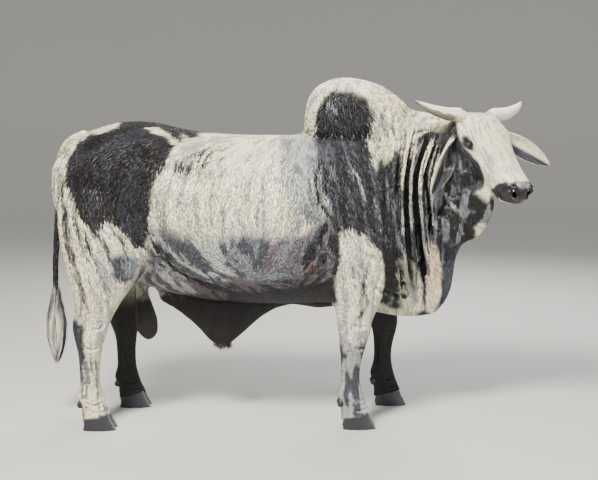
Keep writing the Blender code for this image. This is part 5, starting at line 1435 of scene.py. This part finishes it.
around = (np.arange(SWITCH_LOCKS) * 2.4)[lock] + by_lock(-0.3, 0.3)
top = by_lock(0.585, 0.662) + chance.uniform(-0.006, 0.006, SWITCH_HAIRS)
foot = SWITCH_FOOT + 0.17 * chance.beta(0.9, 2.0, SWITCH_LOCKS)[lock] + chance.uniform(0, 0.022, SWITCH_HAIRS)
depth = np.sqrt(by_lock(0.05, 1.0))
level = top[:, None] * (1 - share) + foot[:, None] * share
reach = np.interp(level, heights, radii) * depth[:, None] * (1 - 0.30 * share**3)
swing = around[:, None] + by_lock(-0.6, 0.6)[:, None] * share**1.4
swing += by_lock(0.10, 0.24)[:, None] * np.sin(share * by_lock(5, 9)[:, None] + around[:, None] * 3)
routes = np.stack([SWITCH_X + reach * np.cos(swing), reach * np.sin(swing), level], 2)
loose = (0.30 + 0.9 * np.sin(math.pi * share) + 0.15 * share)[:, :, None]
routes[:, :, :2] += chance.normal(0, 0.0030, (SWITCH_HAIRS, 1, 2)) * loose
routes[:, :, :2] += 0.0016 * np.sin(share * 16 + by_lock(0, 6)[:, None])[:, :, None]
outward = np.stack([np.cos(around), np.sin(around), 0 * around], 1)
# Painted shade on some outer locks at the switch's front and back edges.
dark = ease(np.abs(np.cos(around)), 0.62, 0.92) * (depth > 0.55) * (by_lock(0, 1) < 0.60)
pale = paint("light") * 0.55 + paint("white") * 0.45
root_dark = (1 - ease(share, 0.08, 0.42))[:, :, None]
body_tint = pale * (1 - dark[:, None]) + paint("slate") * 0.7 * dark[:, None]
tints = body_tint[:, None] * (by_lock(0.82, 1.08) * chance.uniform(0.86, 1.08, SWITCH_HAIRS))[:, None, None]
tints = tints * (1 - 0.75 * root_dark) + paint("charcoal") * 0.75 * root_dark
switch = hair("switch_locks", routes, tapered(SWITCH_HAIRS, SWITCH_RINGS, 0.0024), outward, tints)
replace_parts(switch, "switch")


# Eyes. Each is a dark ball of glass with a brown iris and a wide level pupil under a clear wet surface. It is set
# behind the lids, which close on it all round.
PUPIL = (0.0068, 0.0036)
IRIS = 0.0128
EYE_WHITE = (0.085, 0.060, 0.048)
IRIS_BROWN = (0.030, 0.014, 0.008)
PUPIL_BLACK = 0.002
ball, shader = tinted_finish("eyeball", 0.12)
shader.inputs["Coat Weight"].default_value = 1.0
shader.inputs["Coat Roughness"].default_value = 0.02
for side, name in SIDES.items():
    centre, look, above, beside = eye_axes[side]
    shape = bmesh.new()
    bmesh.ops.create_uvsphere(shape, u_segments=96, v_segments=64, radius=EYE_RADIUS - 0.0002)
    turn_eye = Matrix((beside, above, look)).transposed()
    bmesh.ops.transform(shape, matrix=turn_eye.to_4x4(), verts=shape.verts)
    bmesh.ops.translate(shape, vec=Vector(centre) - OWN_FRAME, verts=shape.verts)
    eye = new_piece(f"eyeball_{name}", shape)
    away = read_points(eye.data) + np.array(OWN_FRAME) - centre
    wide, high, out = away @ beside, away @ above, away @ look
    bearing = np.arctan2(high, wide)
    ring = np.hypot(wide, high) + (out < 0) * 0.05
    in_iris = 1 - ease(ring, IRIS - 0.0010, IRIS + 0.0006)
    oval = ((np.abs(wide) / PUPIL[0]) ** 2.4 + (np.abs(high) / PUPIL[1]) ** 2.4) ** (1 / 2.4)
    in_pupil = 1 - ease(oval, 0.92, 1.08)
    rays = 0.75 + 0.25 * np.sin(bearing * 37 + 2 * np.sin(bearing * 9))
    brown = np.array(IRIS_BROWN)[None] * rays[:, None] * (0.5 + ease(ring, 0.003, 0.011))[:, None]
    tint = np.array(EYE_WHITE) * (1 - in_iris[:, None]) + brown * in_iris[:, None]
    store_colour(eye.data, tint * (1 - in_pupil[:, None]) + PUPIL_BLACK * in_pupil[:, None])
    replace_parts(dressed(eye, ball), f"eye_{name}")


# Horns. Round tapering cones of pale horn that curve back and up, ringed near the root and smooth to a dark tip.
# The near one is painted dark beneath as shade, the far one faintly. Their roots are sunk in the hide at the
# sides of the poll.
HORN_ROOT = (0.022, 0.118, -0.014)
HORN = (((0.0, -0.006, 0.0), 0.0325), ((-0.006, 0.065, 0.0), 0.03), ((-0.022, 0.125, 0.004), 0.025),
        ((-0.048, 0.182, 0.008), 0.017), ((-0.08, 0.228, 0.014), 0.0052))
HORN_RINGS = 120
HORN_SIDES = 56
HORN_RIDGE = 0.0007
HORN_GROOVE = 0.0003
keratin, _ = tinted_finish("horn", 0.42)


def grown_horn(name, places, colours, material):
    """A closed tube of horn through rings of places, coloured by place."""
    shape = bmesh.new()
    rows = [[shape.verts.new(tuple(place)) for place in row] for row in places - np.array(OWN_FRAME)]
    for low, high in zip(rows, rows[1:]):
        for k in range(len(low)):
            after = (k + 1) % len(low)
            shape.faces.new((low[k], low[after], high[after], high[k]))
    shape.faces.new(rows[0][::-1])
    shape.faces.new(rows[-1])
    bmesh.ops.recalc_face_normals(shape, faces=shape.faces)
    piece = new_piece(name, shape)
    store_colour(piece.data, colours.reshape(-1, 3))
    return dressed(piece, material)


for side, name in SIDES.items():
    keys = [(*on_head(HORN_ROOT[0] + u, side * (HORN_ROOT[1] + v), HORN_ROOT[2] + w), radius)
            for (u, v, w), radius in HORN]
    rows = through(keys, HORN_RINGS)
    centres, radius = rows[:, :3], rows[:, 3]
    share = np.linspace(0, 1, HORN_RINGS)
    run = unit(np.gradient(centres, axis=0))
    first = unit(np.array((0, 0.25, 1)) - run * (run @ np.array((0, 0.25, 1)))[:, None])
    second = np.cross(run, first)
    turns = np.linspace(0, 2 * math.pi, HORN_SIDES, endpoint=False)
    ridges = np.sin(share * 130 + 2.2 * np.sin(share * 21))
    ringed = HORN_RIDGE * ridges * (1 - ease(share, 0.25, 0.62))
    grooves = HORN_GROOVE * np.sin(turns * 9 + 3 * np.sin(turns * 2))[None] * (1 - share)[:, None]
    rounding = np.sqrt(np.clip((1 - share) / 0.02, 0.02, 1))
    radii = (radius + ringed)[:, None] * rounding[:, None] + grooves
    # Painted shade under each horn, strong on the near one and faint on the far one.
    shaded_way = np.array((0, -0.80 if side < 0 else -0.2, -0.60))
    outward = first[:, None] * np.cos(turns)[None, :, None] + second[:, None] * np.sin(turns)[None, :, None]
    under = ease(outward @ shaded_way + 0.06 * np.sin(share * 26)[:, None], 0.62, 0.88)
    under = under * ease(share, 0.05, 0.20)[:, None]
    under = (under if side < 0 else 0.4 * under)[:, :, None]
    bands = (0.90 + 0.10 * ridges * (1 - share))[:, None, None]
    tip = ease(share, 0.80, 0.97)[:, None, None]
    streak_way = (0.90 + 0.10 * np.sin(turns * 13 + 4 * np.sin(turns * 3)))[None, :, None]
    tint = paint("cream") * bands * streak_way
    tint = tint * (1 - 0.82 * under) + paint("charcoal") * 0.82 * under
    tint = tint * (1 - 0.65 * tip) + paint("charcoal") * 0.65 * tip
    places = centres[:, None] + radii[:, :, None] * outward
    horn = grown_horn(f"horn_{name}_sheath", places, tint, keratin)
    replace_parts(horn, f"horn_{name}")


# Hooves. Two claws of slate-dark horn to a foot, with faint growth rings, and toes painted paler as wear and as a
# painted highlight. They stand flat on the floor, and their tops are sunk in the leg behind the fringe of hair.
FOOT_OUT = {"fore": 0.228, "hind": 0.219}
CLAW_HALF_WIDTH = 0.0265
CLAW_APART = 0.0300
SOLE_HALF_LENGTH = 0.080
TOE_AHEAD = 0.018
TOE_NARROWING = 0.28
CLAW = ((0.0, 0.905, 0.9), (0.004, 0.935, 0.935), (0.016, 0.985, 0.985), (0.04, 0.995, 0.995),
        (0.55, 0.81, 0.975), (0.93, 0.765, 0.965), (1.0, 0.745, 0.94))
CLAW_RINGS = 34
CLAW_AROUND = 72
GROWTH_RIPPLE = 0.006
hoof_horn = keratin.copy()
hoof_horn.name = "hoof"
hoof_horn.node_tree.nodes["Principled BSDF"].inputs["Roughness"].default_value = 0.5
turns = np.linspace(0, 2 * math.pi, CLAW_AROUND, endpoint=False)
rises, lengths, widths = (np.array(column) for column in zip(*CLAW))
rise = np.concatenate([[0, 0.004, 0.016], np.linspace(0.04, 1, CLAW_RINGS - 3)])
growth = np.sin(rise * 46 + 1.5 * np.sin(rise * 11))
ripple = 1 + GROWTH_RIPPLE * growth
ripple[:3] = 1
for (pair, side), place in FOOT_PLACES.items():
    for where, shift in (("inner", -side), ("outer", side)):
        long = (np.interp(rise, rises, lengths) * ripple)[:, None]
        broad_claw = (np.interp(rise, rises, widths) * ripple)[:, None]
        ahead = TOE_AHEAD * (1 - rise)[:, None] + SOLE_HALF_LENGTH * long * np.cos(turns)
        narrowed = 1 - TOE_NARROWING * np.maximum(0, np.cos(turns)) ** 2
        bulge = np.sign(np.sin(turns)) * np.abs(np.sin(turns)) ** 0.75
        beside_claw = CLAW_HALF_WIDTH * broad_claw * narrowed * bulge
        up_claw = rise[:, None] * (CORONET + CORONET_SLOPE * ahead)
        places = np.stack([place + ahead, side * FOOT_OUT[pair] + shift * CLAW_APART + beside_claw, up_claw], 2)
        # The toes are painted paler, partly as wear and partly as a painted highlight.
        toe_wear_and_highlight = ease(np.cos(turns), 0.86, 0.99)[None, :, None] * 0.45
        rung = (0.94 + 0.10 * growth)[:, None, None]
        tint = (paint("blue") * 0.75 + paint("black") * 0.25) * rung
        tint = tint * (1 - toe_wear_and_highlight) + paint("grey") * toe_wear_and_highlight
        top_edge = ease(rise, 0.90, 1.0)[:, None, None] * 0.5
        tint = tint * (1 - top_edge) + paint("mauve") * 0.5 * top_edge
        claw = grown_horn(f"{pair}_{SIDES[side]}_hoof_{where}", places, tint, hoof_horn)
        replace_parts(claw, f"{pair}_{SIDES[side]}_claw_{where}")


# Hide, finished. With the coat on it, it is thinned to the triangles that it needs, and it then stands for all
# the solids of the flesh and for both ears.
SKIN_TRIANGLES = 186000
thin = skin.modifiers.new("thin", "DECIMATE")
thin.ratio = SKIN_TRIANGLES / len(corners)
applied(skin)
skin.data.shade_smooth()
skin.data.transform(Matrix.Translation(-OWN_FRAME))
skin.data.update()
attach(skin, "root")
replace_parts(skin, *FLESH, "ear_left", "ear_right")


# Dewclaws. Two small blunt claws of the hooves' horn behind each foot, ringed and wider at the root. They are
# sunk in the leg and lean back.
DEWCLAW_BACK = -0.072
DEWCLAW_APART = 0.026
DEWCLAW_HEIGHT = 0.128
DEWCLAW_LEAN = math.radians(24)
DEWCLAW_SIZE = (0.0150, 0.0122, 0.0212)
for (pair, side), place in FOOT_PLACES.items():
    for where, shift in (("inner", -side), ("outer", side)):
        shape = bmesh.new()
        bmesh.ops.create_uvsphere(shape, u_segments=40, v_segments=28, radius=1)
        for vert in shape.verts:
            x, y, z = vert.co
            ring = 1 + 0.018 * math.sin(z * 13) * (1 - z * z)
            fuller = 1 - 0.16 * z
            vert.co = (x * ring * fuller, y * ring * fuller, z)
        bmesh.ops.scale(shape, vec=DEWCLAW_SIZE, verts=shape.verts)
        bmesh.ops.rotate(shape, matrix=Matrix.Rotation(DEWCLAW_LEAN, 3, "Y"), verts=shape.verts)
        centre = Vector((place + DEWCLAW_BACK, side * FOOT_OUT[pair] + shift * DEWCLAW_APART, DEWCLAW_HEIGHT))
        bmesh.ops.translate(shape, vec=centre - OWN_FRAME, verts=shape.verts)
        dewclaw = new_piece(f"{pair}_{SIDES[side]}_dewclaw_{where}_horn", shape)
        level = read_points(dewclaw.data)[:, 2] - DEWCLAW_HEIGHT
        rung = (0.92 + 0.12 * np.sin(level * 620))[:, None]
        store_colour(dewclaw.data, (paint("blue") * 0.6 + paint("black") * 0.4) * rung)
        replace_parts(dressed(dewclaw, hoof_horn), f"{pair}_{SIDES[side]}_dewclaw_{where}")


# Setting. A plain pale floor that sweeps up to a wall all round, under an even sky. A broad soft key stands at
# the upper left, with a weaker fill at the right and a light behind.
# Distance out and height of the floor's profile
SWEEP = ((0.0, 0.0, 0, 0), (5.0, 0.0, 0, 0), (9.0, 0.0, 0, 0), (11.5, 0.35, 0, 0), (13.6, 1.5, 0, 0),
         (14.8, 3.6, 0, 0), (15.2, 6.5, 0, 0), (15.2, 9.5, 0, 0))
floor = bmesh.new()
profile = [floor.verts.new((out, 0, max(0.0, up_wall))) for out, up_wall, _, _ in through(SWEEP, 48).tolist()]
edges = [floor.edges.new(pair) for pair in zip(profile, profile[1:])]
bmesh.ops.spin(floor, geom=profile + edges, cent=(0, 0, 0), axis=(0, 0, 1), angle=2 * math.pi, steps=96,
               use_merge=True)
bmesh.ops.remove_doubles(floor, verts=floor.verts, dist=1e-5)
bmesh.ops.recalc_face_normals(floor, faces=floor.faces)
floor = new_piece("floor", floor)
floor.data.shade_smooth()
FLOOR_COLOUR = (0.42, 0.407, 0.38, 1)
SKY_COLOUR = (0.90, 0.92, 0.95, 1)
SKY_STRENGTH = 0.70
plain = bpy.data.materials.new("floor")
plain.use_nodes = True
shader = plain.node_tree.nodes["Principled BSDF"]
shader.inputs["Base Color"].default_value = FLOOR_COLOUR
shader.inputs["Roughness"].default_value = 0.9
floor.data.materials.append(plain)

world = bpy.data.worlds.new("studio")
bpy.context.scene.world = world
world.use_nodes = True
world.node_tree.nodes["Background"].inputs["Color"].default_value = SKY_COLOUR
world.node_tree.nodes["Background"].inputs["Strength"].default_value = SKY_STRENGTH


def soft_lamp(name, place, aim, size, power, colour):
    """A round soft lamp at a place, turned to what it lights."""
    lamp = bpy.data.lights.new(name, "AREA")
    lamp.shape = "DISK"
    lamp.size = size
    lamp.energy = power
    lamp.color = colour
    holder = bpy.data.objects.new(name, lamp)
    bpy.context.scene.collection.objects.link(holder)
    holder.location = place
    holder.rotation_euler = (Vector(aim) - Vector(place)).to_track_quat("-Z", "Y").to_euler()


soft_lamp("key", (-1.9, -3.9, 5.2), (0, 0, 0.9), 1.8, 1280, (1.0, 0.97, 0.92))
soft_lamp("fill", (4.5, -4.0, 2.2), (0.3, 0, 0.9), 3.0, 210, (0.92, 0.95, 1.0))
soft_lamp("back", (1.5, 4.5, 4.2), (0, 0, 1.1), 3.0, 380, (1.0, 1.0, 1.0))

# Camera. It stands 5.6 m to the bull's right at withers height, and looks a little down and to the right, as
# the landmarks of the picture ask.
CAMERA_AWAY = 5.6
CAMERA_ALONG = -0.006
CAMERA_HEIGHT = 1.499
CAMERA_TURN = math.radians(-1.42)
CAMERA_DROP = math.radians(6.19)
FOCAL_PIXELS = 1133
PICTURE_WIDTH = 598
lens = bpy.data.cameras.new("camera")
lens.sensor_width = 36
lens.lens = lens.sensor_width * FOCAL_PIXELS / PICTURE_WIDTH
camera = bpy.data.objects.new("camera", lens)
bpy.context.scene.collection.objects.link(camera)
stand = (CAMERA_ALONG + CAMERA_AWAY * math.sin(CAMERA_TURN), -CAMERA_AWAY * math.cos(CAMERA_TURN), CAMERA_HEIGHT)
camera.location = Vector(stand) - OWN_FRAME
camera.rotation_euler = (math.radians(90) - CAMERA_DROP, 0, CAMERA_TURN)
bpy.context.scene.camera = camera
